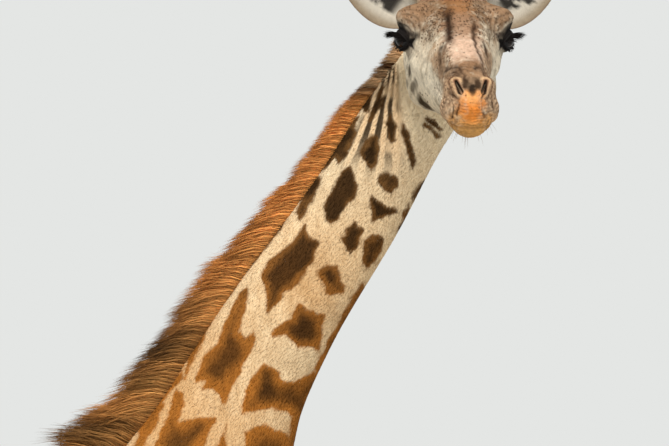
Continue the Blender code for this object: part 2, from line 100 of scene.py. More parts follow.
FORELEG = [
    (0.43, 2.39, 0.3, 2.37, 0.035, 0.13),
    (0.56, 2.24, 0.22, 2.19, 0.06, 0.168),
    (0.7, 2.02, 0.235, 1.96, 0.078, 0.186),
    (0.745, 1.85, 0.285, 1.74, 0.088, 0.19),
    (0.7, 1.7, 0.33, 1.6, 0.088, 0.19),
    (0.62, 1.56, 0.35, 1.5, 0.078, 0.186),
    (0.592, 1.4, 0.395, 1.38, 0.066, 0.18),
    (0.57, 1.22, 0.424, 1.21, 0.053, 0.174),
    (0.558, 1.05, 0.44, 1.045, 0.046, 0.168),
    (0.568, 0.955, 0.434, 0.955, 0.054, 0.165),
    (0.572, 0.89, 0.428, 0.88, 0.055, 0.163),
    (0.556, 0.815, 0.446, 0.81, 0.046, 0.161),
    (0.542, 0.72, 0.455, 0.715, 0.037, 0.16),
    (0.537, 0.48, 0.458, 0.475, 0.034, 0.158),
    (0.542, 0.31, 0.454, 0.3, 0.039, 0.157),
    (0.56, 0.225, 0.44, 0.208, 0.05, 0.157),
    (0.582, 0.165, 0.458, 0.145, 0.047, 0.157),
    (0.612, 0.118, 0.462, 0.108, 0.06, 0.157),
    (0.62, 0.085, 0.46, 0.085, 0.058, 0.157),
]
HINDLEG = [
    (-0.4, 2.12, -0.64, 2.08, 0.05, 0.12),
    (-0.29, 1.96, -0.745, 1.96, 0.092, 0.152),
    (-0.215, 1.78, -0.785, 1.83, 0.108, 0.168),
    (-0.18, 1.62, -0.78, 1.68, 0.104, 0.178),
    (-0.192, 1.48, -0.738, 1.5, 0.092, 0.182),
    (-0.262, 1.35, -0.682, 1.33, 0.074, 0.178),
    (-0.37, 1.225, -0.668, 1.19, 0.058, 0.172),
    (-0.47, 1.11, -0.69, 1.09, 0.048, 0.167),
    (-0.54, 1.02, -0.728, 1.035, 0.046, 0.164),
    (-0.566, 0.94, -0.722, 0.965, 0.05, 0.162),
    (-0.578, 0.85, -0.694, 0.86, 0.046, 0.161),
    (-0.58, 0.74, -0.672, 0.74, 0.039, 0.16),
    (-0.572, 0.48, -0.655, 0.475, 0.034, 0.158),
    (-0.562, 0.31, -0.652, 0.3, 0.039, 0.157),
    (-0.54, 0.225, -0.66, 0.208, 0.05, 0.157),
    (-0.516, 0.165, -0.64, 0.145, 0.047, 0.157),
    (-0.484, 0.118, -0.634, 0.108, 0.06, 0.157),
    (-0.476, 0.085, -0.636, 0.085, 0.058, 0.157),
]
STRIDE = {"foreleg_left": 0.06, "foreleg_right": -0.03, "hindleg_left": -0.05, "hindleg_right": 0.05}
HEAD = [
    (-0.228, 0.035, -0.020, 0.030, 0.00, 1.00),
    (-0.212, 0.057, -0.058, 0.056, 0.00, 1.00),
    (-0.170, 0.089, -0.110, 0.079, 0.05, 0.95),
    (-0.110, 0.109, -0.158, 0.091, 0.06, 0.90),
    (-0.050, 0.111, -0.173, 0.098, 0.00, 0.86),
    (0.000, 0.098, -0.174, 0.098, -0.04, 0.86),
    (0.060, 0.082, -0.162, 0.089, -0.06, 0.86),
    (0.120, 0.068, -0.142, 0.076, -0.06, 0.84),
    (0.180, 0.056, -0.121, 0.063, -0.04, 0.82),
    (0.240, 0.045, -0.104, 0.054, 0.02, 0.82),
    (0.285, 0.036, -0.096, 0.051, 0.10, 0.86),
    (0.325, 0.026, -0.103, 0.053, 0.14, 0.88),
    (0.355, 0.010, -0.103, 0.050, 0.10, 0.92),
    (0.376, -0.012, -0.090, 0.039, 0.05, 0.96),
    (0.387, -0.034, -0.070, 0.020, 0.00, 1.00),
]
SWELLINGS = [
    ((0.098, -0.002, 0.012), (0.06, 0.075, 0.062), 0.027),  # orbit
    ((0.095, -0.008, 0.05), (0.052, 0.06, 0.042), 0.034),  # brow
    ((0.09, -0.085, -0.085), (0.05, 0.09, 0.08), 0.011),  # chewing muscle
    ((0.084, 0.0, -0.138), (0.055, 0.1, 0.065), 0.02),  # corner of the jaw
    ((0.09, 0.06, -0.04), (0.04, 0.11, 0.03), 0.009),  # cheekbone ridge
    ((0.074, 0.085, 0.02), (0.045, 0.06, 0.035), -0.008),  # hollow before the eye
    ((0.092, -0.085, 0.02), (0.04, 0.045, 0.05), -0.008),  # temple
    ((0.062, 0.2, -0.05), (0.04, 0.09, 0.045), -0.006),  # hollow of the cheek
    ((0.044, 0.318, -0.002), (0.03, 0.046, 0.034), 0.012),  # wing of the nostril
    ((0.05, 0.33, -0.05), (0.04, 0.055, 0.04), 0.012),  # upper lip
    ((0.0, 0.345, -0.104), (0.05, 0.045, 0.03), 0.008),  # chin
    ((0.0, -0.045, 0.112), (0.055, 0.085, 0.06), 0.022),  # forehead boss
    ((0.05, -0.102, 0.112), (0.042, 0.052, 0.05), 0.02),  # foot of the horn
]

OSSICONE_FOOT = (0.042, -0.072, 0.058)
OSSICONE_TIP = (0.063, -0.142, 0.230)
OSSICONE = np.array(  # share of its length, radius
    ((0.0, 0.038), (0.22, 0.034), (0.42, 0.0235), (0.6, 0.0195), (0.8, 0.0205), (0.94, 0.0215), (1.0, 0.012))
)
EAR_ROOT = (0.084, -0.112, 0.018)
EAR_TIP = (0.266, -0.150, 0.130)
EAR_FACING = (0.20, 0.93, 0.30)
EAR_HALF_WIDTH = 0.061
EAR_THICKNESS = 0.010
EAR_HOLLOW = 0.030
EAR_BOW = -0.010
TAIL_LINE = [
    (-0.735, 2.085, 0.034),
    (-0.790, 2.060, 0.030),
    (-0.826, 1.960, 0.024),
    (-0.838, 1.800, 0.020),
    (-0.842, 1.600, 0.017),
    (-0.845, 1.400, 0.014),
    (-0.848, 1.270, 0.013),
    (-0.850, 1.190, 0.030),
    (-0.853, 1.080, 0.044),
    (-0.856, 0.940, 0.042),
    (-0.858, 0.800, 0.028),
    (-0.860, 0.690, 0.007),
]
TAIL_HAIR = 1.270
MANE = [
    (0.000, 0.010, 0.007),
    (0.060, 0.026, 0.011),
    (0.120, 0.055, 0.017),
    (0.180, 0.082, 0.023),
    (0.245, 0.113, 0.027),
    (0.300, 0.113, 0.027),
    (0.375, 0.095, 0.027),
    (0.447, 0.082, 0.026),
    (0.558, 0.075, 0.024),
    (0.678, 0.056, 0.022),
    (0.770, 0.044, 0.020),
    (0.853, 0.025, 0.018),
    (0.926, 0.023, 0.017),
    (0.972, 0.020, 0.014),
    (1.000, 0.014, 0.008),
]
MANE_RINGS = (42, 93)
WITHERS_RING = 46  # where lengths along the neck are measured from
BODY_RINGS = 96

# The dark leaves of the neck, corner by corner: metres along the neck from the withers, and how far across
# its side, 0 at the crest and 1 at the throat. A leaf that runs past 1 comes round onto the other side.
LEAVES = [
    [(1.585, -0.04), (1.56, 0.05), (1.535, 0.12), (1.525, 0.07), (1.53, -0.07), (1.555, -0.09)],
    [(1.61, 0.06), (1.565, 0.2), (1.53, 0.2), (1.51, 0.16), (1.55, 0.11), (1.58, 0.06)],
    [(1.565, 0.31), (1.545, 0.45), (1.515, 0.52), (1.505, 0.5), (1.51, 0.43), (1.535, 0.33)],
    [(1.56, 0.5), (1.55, 0.6), (1.52, 0.77), (1.505, 0.83), (1.485, 0.82), (1.5, 0.72), (1.54, 0.52)],
    [(1.609, 0.66), (1.611, 0.77), (1.603, 0.88), (1.596, 0.87), (1.599, 0.76), (1.6, 0.67)],
    [(1.594, 0.68), (1.595, 0.8), (1.587, 0.92), (1.579, 0.89), (1.583, 0.79), (1.584, 0.69)],
    [(1.495, -0.05), (1.48, 0.1), (1.45, 0.16), (1.4, 0.13), (1.405, 0.06), (1.375, -0.01), (1.455, -0.04)],
    [(1.495, 0.26), (1.505, 0.33), (1.48, 0.44), (1.45, 0.47), (1.425, 0.46), (1.435, 0.35), (1.45, 0.23)],
    [(1.45, 0.6), (1.45, 0.72), (1.435, 0.79), (1.41, 0.75), (1.405, 0.67), (1.415, 0.57), (1.43, 0.55)],
    [(1.345, -0.03), (1.36, 0.05), (1.33, 0.11), (1.26, 0.14), (1.245, 0.12), (1.255, 0.06), (1.3, 0.0)],
    [(1.41, 0.24), (1.4, 0.34), (1.38, 0.43), (1.29, 0.44), (1.275, 0.39), (1.29, 0.24), (1.385, 0.19)],
    [(1.38, 0.59), (1.38, 0.73), (1.39, 0.88), (1.38, 0.91), (1.345, 0.77), (1.33, 0.73), (1.35, 0.65)],
    [(1.49, 1.04), (1.445, 1.04), (1.415, 1.0), (1.43, 0.96), (1.455, 0.94)],
    [(1.26, -0.01), (1.21, 0.05), (1.16, 0.05), (1.07, 0.01), (1.1, -0.03), (1.205, -0.02)],
    [(1.245, 0.2), (1.225, 0.29), (1.23, 0.41), (1.19, 0.46), (1.13, 0.47), (1.095, 0.42), (1.055, 0.41),
     (1.03, 0.38), (1.065, 0.28), (1.09, 0.15), (1.135, 0.13), (1.21, 0.2)],
    [(1.31, 0.57), (1.305, 0.7), (1.26, 0.74), (1.245, 0.7), (1.25, 0.62), (1.26, 0.55), (1.28, 0.55)],
    [(1.285, 0.73), (1.31, 0.8), (1.32, 0.91), (1.295, 0.95), (1.26, 0.96), (1.23, 0.92), (1.25, 0.83)],
    [(1.2, 0.58), (1.205, 0.67), (1.18, 0.77), (1.18, 0.84), (1.16, 0.85), (1.14, 0.74), (1.17, 0.53)],
    [(1.205, 1.05), (1.205, 0.95), (1.17, 0.93), (1.14, 0.95), (1.095, 0.95), (1.045, 0.96), (1.06, 1.05)],
    [(1.09, 0.56), (1.09, 0.66), (1.09, 0.75), (1.1, 0.81), (1.075, 0.84), (1.045, 0.91), (1.02, 0.94),
     (1.02, 0.84), (1.005, 0.75), (1.005, 0.67), (1.015, 0.61), (0.99, 0.51), (1.01, 0.49), (1.05, 0.56)],
    [(1.06, 0.11), (1.03, 0.18), (0.995, 0.22), (0.96, 0.26), (0.955, 0.34), (0.98, 0.35), (0.97, 0.41),
     (0.92, 0.42), (0.895, 0.43), (0.84, 0.42), (0.805, 0.42), (0.81, 0.38), (0.825, 0.3), (0.81, 0.23),
     (0.83, 0.22), (0.815, 0.16), (0.825, 0.13), (0.885, 0.12), (0.915, 0.15), (0.95, 0.12), (1.035, 0.08)],
    [(0.935, 0.55), (0.935, 0.7), (0.92, 0.75), (0.935, 0.86), (0.98, 0.94), (0.98, 1.06), (0.885, 1.06),
     (0.865, 0.98), (0.87, 0.9), (0.855, 0.76), (0.805, 0.56), (0.825, 0.53), (0.885, 0.53)],
    [(1.04, 0.01), (0.985, 0.02), (0.965, 0.01), (0.97, -0.03), (1.03, -0.02)],
    [(0.93, -0.01), (0.905, 0.05), (0.87, 0.06), (0.81, 0.08), (0.83, 0.04), (0.87, 0.0)],
    [(0.9, -0.03), (0.865, 0.0), (0.81, 0.02), (0.78, 0.01), (0.755, -0.03), (0.82, -0.03), (0.885, -0.07)],
    [(0.72, -0.02), (0.73, 0.05), (0.695, 0.07), (0.6, 0.11), (0.53, 0.1), (0.54, 0.05), (0.63, 0.01)],
    [(0.78, 0.06), (0.78, 0.12), (0.765, 0.16), (0.715, 0.2), (0.75, 0.3), (0.77, 0.4), (0.69, 0.42),
     (0.6, 0.34), (0.585, 0.2), (0.625, 0.15), (0.715, 0.11)],
    [(0.77, 0.49), (0.7, 0.58), (0.64, 0.56), (0.69, 0.49)],
    [(0.815, 0.74), (0.82, 0.86), (0.825, 0.94), (0.76, 1.02), (0.69, 0.86), (0.72, 0.7), (0.775, 0.63)],
]
LEAVES_FROM = 0.66  # along the neck: from here up the leaves above are all there are
LEAF_SLIDE = 0.075  # how far down the neck the same leaves sit on the left side

COATS = {  # tufts to a square metre, length, width
    "face": (210000, 0.0036, 0.0012),
    "neck": (100000, 0.0090, 0.0015),
    "trunk": (14000, 0.0230, 0.0058),
    "leg": (16000, 0.0150, 0.0046),
}


def linear(red, green, blue):
    """A screen colour, 0 to 255, in the scene's own linear scale."""
    share = np.array((red, green, blue), float) / 255
    return np.where(share <= 0.04045, share / 12.92, ((share + 0.055) / 1.055) ** 2.4)


PALE = linear(232, 204, 164)  # the ground between the marks
TAN = linear(214, 172, 122)
LEG_PALE = linear(228, 214, 192)
RUST = linear(172, 108, 42)
SMOKE = linear(46, 30, 12)
BLACK_HAIR = linear(30, 24, 22)

# ---- frames ------------------------------------------------------------------------------------


def place(across, forward, up):
    """A place on the body in the model's frame."""
    return np.array((across - ORIGIN_ACROSS, ORIGIN_FORWARD - forward, up), float)


def head_axes():
    """The head's left, along and up as the columns of a matrix, and the point they start from."""
    level = math.cos(HEAD_DIP)
    along = np.array((-math.sin(HEAD_TURN) * level, -math.cos(HEAD_TURN) * level, -math.sin(HEAD_DIP)))
    left = np.array((math.cos(HEAD_TURN), -math.sin(HEAD_TURN), 0))
    return np.stack((left, along, np.cross(along, left)), axis=1), place(*EYE_LINE)


HEAD_AXES, HEAD_ORIGIN = head_axes()


def to_head(points):
    return (points - HEAD_ORIGIN) @ HEAD_AXES


def from_head(points):
    return np.asarray(points, float) @ HEAD_AXES.T + HEAD_ORIGIN


def unit(vectors):
    return vectors / np.maximum(np.linalg.norm(vectors, axis=-1, keepdims=True), 1e-9)


def ramp(value, low, high):
    """0 below low, 1 above high, smooth between; low may be the larger."""
    t = np.clip((value - low) / (high - low), 0, 1)
    return t * t * (3 - 2 * t)


def mixed(first, second, share):
    share = np.asarray(share)[..., None]
    return first * (1 - share) + second * share


LATTICE = rng.random((32, 32, 32))


def noise(points, size):
    """Smooth noise from 0 to 1 whose bumps are about size across."""
    scaled = points / size + 100
    cell = np.floor(scaled).astype(int)
    part = scaled - cell
    part = part * part * (3 - 2 * part)
    total = 0
    for step in np.ndindex(2, 2, 2):
        near = np.abs(1 - np.array(step) - part)
        x, y, z = ((cell + step) % 32).T
        total = total + near[:, 0] * near[:, 1] * near[:, 2] * LATTICE[x, y, z]
    return total


def noise_vectors(points, size, step=1):
    """Three fields of noise from -0.5 to 0.5, as a vector for each point."""
    return np.column_stack([noise(points + step * k, size) - 0.5 for k in range(3)])


# ---- lofting -----------------------------------------------------------------------------------


def smoothed(rows, count):
    """Rows read at even steps along a smooth curve through them. The first three columns set the spacing."""
    rows = np.array(rows, float)
    steps = np.linalg.norm(np.diff(rows[:, :3], axis=0), axis=1)
    at = np.concatenate([[0], np.cumsum(steps)])
    slopes = np.gradient(rows, at, axis=0)
    wanted = np.linspace(0, at[-1], count)
    i = np.clip(np.searchsorted(at, wanted, side="right") - 1, 0, len(at) - 2)
    span = (at[i + 1] - at[i])[:, None]
    t = ((wanted - at[i]) / span[:, 0])[:, None]
    return (
        rows[i] * (1 + 2 * t) * (1 - t) ** 2
        + slopes[i] * span * t * (1 - t) ** 2
        + rows[i + 1] * t * t * (3 - 2 * t)
        + slopes[i + 1] * span * t * t * (t - 1)
    )


def rings(first, second, side, half, narrowing=0.0, roundness=1.0, corners=32):
    """Closed sections from first to second, half to each side: an array of rings, corners, xyz."""
    columns = (half, narrowing, roundness)
    columns = [np.broadcast_to(np.asarray(c, float), len(first))[:, None] for c in columns]
    half, narrowing, roundness = columns
    angle = 2 * math.pi * np.arange(corners) / corners
    u = np.cos(angle)[None, :]
    v = np.sin(angle)[None, :]
    u = np.sign(u) * np.abs(u) ** roundness * (1 - narrowing * v)
    v = np.sign(v) * np.abs(v) ** roundness
    middle = (first + second) / 2
    reach = (first - second) / 2
    return middle[:, None] + side[:, None] * (half * u)[..., None] + reach[:, None] * v[..., None]


def tube(points):
    """Vertices and outward faces of a closed tube through rings of equal corner count."""
    count, corners = points.shape[:2]
    index = np.arange(count * corners).reshape(count, corners)
    after = np.roll(index, -1, axis=1)
    quads = np.stack((index[:-1], after[:-1], after[1:], index[1:]), axis=-1).reshape(-1, 4)
    verts = points.reshape(-1, 3)
    a, b, c, d = (verts[quads[:, k]] - verts.mean(0) for k in range(4))
    volume = (a * np.cross(b, c)).sum() + (a * np.cross(c, d)).sum()
    faces = [tuple(q) for q in quads.tolist()]
    faces += [tuple(index[0][::-1].tolist()), tuple(index[-1].tolist())]
    if volume < 0:
        faces = [f[::-1] for f in faces]
    return verts, faces


def body_sections(count=BODY_RINGS):
    """Crest, throat, way to the side, half width and narrowing of each section from the rump to the head."""
    rows = [(0, f1, u1, 0, f2, u2, half, narrow, 0) for f1, u1, f2, u2, half, narrow in TRUNK]
    rows += [(*crest, *throat, half, 0.0, turn) for crest, throat, half, turn in NECK_TOP]
    rows = smoothed(rows, count)
    crest = np.array([place(*row[:3]) for row in rows])
    throat = np.array([place(*row[3:6]) for row in rows])
    turn = np.radians(rows[:, 8])
    side = np.stack((np.cos(turn), -np.sin(turn), 0 * turn), axis=1)
    return crest, throat, side, rows[:, 6], rows[:, 7]


def trunk_and_neck():
    crest, throat, side, half, narrow = body_sections(192)
    return tube(rings(crest, throat, side, half, narrow, 0.96, 72))


def lean(stride, up, top):
    """How far forward a stride carries the place at that height on a leg."""
    return stride * (1 - np.minimum(1, up / top)) ** 0.8


def leg(rows, sign, stride):
    table = smoothed(rows, 120)
    shift = lean(stride, (table[:, 1] + table[:, 3]) / 2, rows[0][1])
    first = np.array([place(sign * r[5], r[0] + s, r[1]) for r, s in zip(table, shift)])
    second = np.array([place(sign * r[5], r[2] + s, r[3]) for r, s in zip(table, shift)])
    side = np.tile((1.0, 0.0, 0.0), (len(table), 1))
    return tube(rings(first, second, side, table[:, 4], 0.0, 0.95, 40))


def normals_of(verts, faces):
    """Vertex normals, weighted by area, of a mesh of quads and caps."""
    total = np.zeros_like(verts)
    quads = np.array([f for f in faces if len(f) == 4])
    across = np.cross(verts[quads[:, 2]] - verts[quads[:, 0]], verts[quads[:, 3]] - verts[quads[:, 1]])
    for k in range(4):
        np.add.at(total, quads[:, k], across)
    return unit(total)


def head_form():
    """The head's form, swollen and hollowed, in the model's frame."""
    table = smoothed(HEAD, 240)
    first = np.stack((0 * table[:, 0], table[:, 0], table[:, 1]), axis=1)
    second = np.stack((0 * table[:, 0], table[:, 0], table[:, 2]), axis=1)
    side = np.tile((1.0, 0.0, 0.0), (len(table), 1))
    verts, faces = tube(rings(first, second, side, table[:, 3], table[:, 4], table[:, 5], 200))
    normal = normals_of(verts, faces)
    push = np.zeros(len(verts))
    for centre, reach, height in SWELLINGS:
        spot = mirrored_x(verts) if centre[0] else verts
        away = (((spot - centre) / reach) ** 2).sum(1)
        push += height * np.maximum(0, 1 - away) ** 2
    verts = from_head(verts + normal * push[:, None])
    return verts, [f[::-1] for f in faces]  # the head's frame is left-handed


# ---- meshes ------------------------------------------------------------------------------------


def placed(name, data):
    """A new object of the scene."""
    obj = bpy.data.objects.new(name, data)
    bpy.context.scene.collection.objects.link(obj)
    return obj


def mesh_object(name, verts, faces):
    """An object from vertices and faces; faces may be an array of equal polygons."""
    mesh = bpy.data.meshes.new(name)
    if isinstance(faces, np.ndarray):
        count, corners = faces.shape
        mesh.vertices.add(len(verts))
        mesh.vertices.foreach_set("co", np.ascontiguousarray(verts, np.float32).ravel())
        mesh.loops.add(count * corners)
        mesh.loops.foreach_set("vertex_index", np.ascontiguousarray(faces, np.int32).ravel())
        mesh.polygons.add(count)
        mesh.polygons.foreach_set("loop_start", np.arange(0, count * corners, corners, dtype=np.int32))
        mesh.update(calc_edges=True)
    else:
        mesh.from_pydata(verts.tolist(), [], faces)
    mesh.shade_smooth()
    return placed(name, mesh)


def joined(shapes):
    """Several (vertices, faces) as one."""
    verts = []
    faces = []
    base = 0
    for v, f in shapes:
        verts.append(v)
        faces += [tuple(i + base for i in face) for face in f]
        base += len(v)
    return np.concatenate(verts), faces


def table(items, key, width=3, kind=np.float32):
    """One property of all items of a mesh, in rows of that width."""
    flat = np.empty(len(items) * width, kind)
    items.foreach_get(key, flat)
    return flat.reshape(-1, width)


def positions(mesh):
    return table(mesh.vertices, "co").astype(float)


def vertex_normals(mesh):
    return table(mesh.vertex_normals, "vector").astype(float)


def put_positions(mesh, points):
    mesh.vertices.foreach_set("co", points.astype(np.float32).ravel())
    mesh.update()


def store(mesh, name, values):
    """A point attribute: a number or a colour for each vertex."""
    kind, key = ("FLOAT", "value") if values.ndim == 1 else ("FLOAT_COLOR", "color")
    attribute = mesh.attributes.new(name, kind, "POINT")
    if values.ndim == 2:
        values = np.concatenate([values, np.ones((len(values), 1))], axis=1)
    attribute.data.foreach_set(key, np.ascontiguousarray(values, np.float32).ravel())


def signed_distances(points, tree):
    """How far each point is outside a closed form, negative inside."""
    found = np.empty(len(points))
    for i, point in enumerate(points):
        near, normal, _, distance = tree.find_nearest(point)
        found[i] = math.copysign(distance, (Vector(point) - near).dot(normal))
    return found


def soft_union(distances, blend):
    """The distance to several forms run together, rounded where they meet."""
    total = distances[0]
    for other in distances[1:]:
        share = np.clip(0.5 + 0.5 * (other - total) / blend, 0, 1)
        total = other * (1 - share) + total * share - blend * share * (1 - share)
    return total


# ---- the skin's form ---------------------------------------------------------------------------


def body_forms():
    forms = {"body": trunk_and_neck(), "head": head_form()}
    for sign, side in ((1, "left"), (-1, "right")):
        forms[f"foreleg_{side}"] = leg(FORELEG, sign, STRIDE[f"foreleg_{side}"])
        forms[f"hindleg_{side}"] = leg(HINDLEG, sign, STRIDE[f"hindleg_{side}"])
    return forms


def evened(obj, voxel, rounds):
    """The object's mesh remade of even quads and smoothed. The object itself goes."""
    remesh = obj.modifiers.new("remesh", "REMESH")
    remesh.mode = "VOXEL"
    remesh.voxel_size = voxel
    smooth = obj.modifiers.new("smooth", "SMOOTH")
    smooth.factor = 0.5
    smooth.iterations = rounds
    graph = bpy.context.evaluated_depsgraph_get()
    mesh = bpy.data.meshes.new_from_object(obj.evaluated_get(graph))
    bpy.data.objects.remove(obj)
    return mesh


def divide(mesh, wanted):
    """Splits each quad whose middle is wanted, given as a function of points."""
    bm = bmesh.new()
    bm.from_mesh(mesh)
    middles = np.array([f.calc_center_median()[:] for f in bm.faces])
    chosen = wanted(middles)
    bm.faces.ensure_lookup_table()
    edges = {e for f, take in zip(bm.faces, chosen) if take for e in f.edges}
    bmesh.ops.subdivide_edges(bm, edges=list(edges), cuts=1, use_grid_fill=True)
    bm.to_mesh(mesh)
    bm.free()


def mirrored_x(h):
    return np.column_stack((np.abs(h[:, 0]), h[:, 1], h[:, 2]))


def in_head(points):
    """Where the head's own mesh is fine: from just behind the jaw forward."""
    h = to_head(points)
    return (h[:, 1] > -0.24) & (h[:, 1] < 0.5) & (np.abs(h[:, 0]) < 0.2) & (np.abs(h[:, 2]) < 0.22)


def face(points):
    return in_head(points) & (to_head(points)[:, 1] > -0.09)


FOLD_CENTRE = place(0, 1.466, 3.906)[1:]


def pleated(points):
    """The turned side of the neck, just behind the jaw."""
    away = np.hypot(points[:, 2] - FOLD_CENTRE[1], points[:, 1] - FOLD_CENTRE[0])
    return (points[:, 0] < place(0.02, 0, 0)[0]) & (away < 0.27) & (points[:, 2] < 3.90)


def upper_neck(points):
    return points[:, 2] > 3.47


def neck(points):
    return points[:, 2] > NECK_FROM


CREST, THROAT, SIDE, _, _ = body_sections()
MIDDLE = (CREST + THROAT) / 2
AXIS = unit(np.cross(SIDE, THROAT - CREST))
AXIS *= np.sign((AXIS[60] * (MIDDLE[61] - MIDDLE[60])).sum())
ALONG = np.concatenate([[0], np.cumsum(np.linalg.norm(np.diff(MIDDLE, axis=0), axis=1))])
ALONG -= ALONG[WITHERS_RING]


def neck_place(points):
    """Metres along the neck from the withers, share of the way from crest to throat, metres to the left."""
    first = WITHERS_RING - 8
    ahead = points @ AXIS[first:].T - (MIDDLE[first:] * AXIS[first:]).sum(1)
    near = np.linalg.norm(points[:, None] - MIDDLE[None, first::6], axis=2).argmin(1) * 6
    best = np.zeros(len(points), int)
    gap = np.full(len(points), 1e9)
    for i in range(ahead.shape[1] - 1):
        crossing = (ahead[:, i] >= 0) & (ahead[:, i + 1] < 0)
        away = np.abs(i - near)
        take = crossing & (away < gap)
        best[take] = i
        gap[take] = away[take]
    best[gap > 1e8] = np.where(ahead[gap > 1e8, -1] > 0, ahead.shape[1] - 2, 0)
    rows = np.arange(len(points))
    low = ahead[rows, best]
    high = ahead[rows, best + 1]
    t = np.clip(low / np.where(np.abs(low - high) < 1e-9, 1, low - high), 0, 1)
    i = best + first
    crest = mixed(CREST[i], CREST[i + 1], t)
    throat = mixed(THROAT[i], THROAT[i + 1], t)
    down = throat - crest
    share = ((points - crest) * down).sum(1) / (down * down).sum(1)
    left = ((points - (crest + throat) / 2) * SIDE[i]).sum(1)
    return ALONG[i] * (1 - t) + ALONG[i + 1] * t, share, left


def regions(points):
    """Which forms a point may lie on: (chosen points, names of forms)."""
    high = neck(points)
    left = points[:, 0] > -ORIGIN_ACROSS
    fore = points[:, 1] < ORIGIN_FORWARD
    yield high, ("body", "head")
    for side, on_side in (("left", left), ("right", ~left)):
        yield ~high & on_side & fore, ("body", f"foreleg_{side}")
        yield ~high & on_side & ~fore, ("body", f"hindleg_{side}")


def settle(mesh, trees):
    """Moves each vertex onto the soft union of the forms."""
    points = positions(mesh)
    normal = vertex_normals(mesh)
    for chosen, names in regions(points):
        index = np.flatnonzero(chosen)
        distances = [signed_distances(points[index], trees[name]) for name in names]
        if "head" in names:  # the neck's end lies inside the skull and has no say in the face
            h = to_head(points[index])
            deep = ramp(h[:, 1], -0.15, -0.09) * ramp(h[:, 2], -0.10, -0.04) * in_head(points[index])
            distances[0] += 0.3 * deep
        blend = HEAD_BLEND if "head" in names else BLEND
        points[index] -= normal[index] * np.clip(soft_union(distances, blend), -0.02, 0.02)[:, None]
    put_positions(mesh, points)


# ---- relief: folds, lids, nostrils and mouth ---------------------------------------------------

EYE_FACING = unit(np.array((0.86, 0.50, -0.06)))
# Along the slit between the lids, towards its front corner.
EYE_AHEAD = unit(np.cross(np.array((-0.35, -0.25, 1.0)), EYE_FACING))
EYE_UP = np.cross(EYE_FACING, EYE_AHEAD)
SLIT_LENGTH = 0.86  # half of it, as a share of the eyeball's radius
SLIT_HEIGHT = 0.62
LID = 0.0030  # thickness
LID_BAND = 0.42
NOSTRIL = (np.array((0.0330, 0.334, 0.013)), np.array((0.0245, 0.360, -0.004)))
MOUTH = np.array(((0.17, -0.054), (0.23, -0.062), (0.29, -0.070), (0.34, -0.077), (0.39, -0.080)))


def eye_opening(direction):
    """Below 0 inside the slit between the lids, for directions from the eye's centre; about 1 per radius."""
    ahead = direction @ EYE_AHEAD
    up = direction @ EYE_UP
    out = direction @ EYE_FACING
    reach = np.sqrt(np.clip(1 - (ahead / SLIT_LENGTH) ** 2, 0, 1)) ** 1.5
    beyond = np.maximum(np.abs(ahead) - SLIT_LENGTH, 0)
    level = np.abs(up - 0.02) - SLIT_HEIGHT * reach
    return np.where(out > 0, np.hypot(beyond, np.maximum(level, 0)) + np.minimum(level, 0), 1.0)


def from_eye(m):
    """Reach, distance and direction from the eye's centre, for mirrored head points."""
    q = m - EYE_CENTRE
    r = np.linalg.norm(q, axis=1)
    return q, r, q / np.maximum(r, 1e-6)[:, None]


def lids(h):
    """Head points with the lids drawn over the eyeball and the slit open."""
    _, r, direction = from_eye(mirrored_x(h))
    opening = eye_opening(direction)
    lid = EYE_RADIUS + LID
    snug = lid + (r - lid) * ramp(opening, 0.0, LID_BAND)
    fold = -0.0022 * np.exp(-(((opening - 0.26) / 0.05) ** 2)) * ramp(direction @ EYE_UP, 0.0, 0.3)
    target = np.where(opening < 0, EYE_RADIUS - 0.007, np.maximum(snug + fold, lid))
    near = (r < 0.052) & (opening < LID_BAND * 1.6)
    new = np.where(near, target, np.maximum(r, np.where(r < 0.05, lid, 0)))
    moved = EYE_CENTRE + direction * new[:, None]
    moved[:, 0] = np.copysign(moved[:, 0], h[:, 0])
    return np.where((r < 0.06)[:, None], moved, h)


def to_segment(points, first, last):
    """Distance to a segment, and the share along it."""
    first = np.asarray(first, float)
    last = np.asarray(last, float)
    reach = last - first
    t = np.clip((points - first) @ reach / (reach @ reach), 0, 1)
    return np.linalg.norm(points - first - t[:, None] * reach, axis=1), t


def bump(distance, width):
    return np.exp(-((distance / width) ** 2))


def ridges(phase):
    """Narrow ridges, from 0 to 1, one to each turn of the phase."""
    return (0.5 + 0.5 * np.cos(phase)) ** 2


def to_bends(points, corners):
    """Distance to a line through corners."""
    return np.min([to_segment(points, a, b)[0] for a, b in zip(corners, corners[1:])], axis=0)


def to_lines(points, corners):
    """Distance to a line through corners, wider along the head and with little heed to how high it lies."""
    flat = (1.0, 0.55, 0.3)
    return to_bends(points * flat, np.array(corners) * flat)


def gape(m):
    """Distance above or below the line of the mouth, for mirrored head points."""
    return np.abs(m[:, 2] - np.interp(m[:, 1], *MOUTH.T))


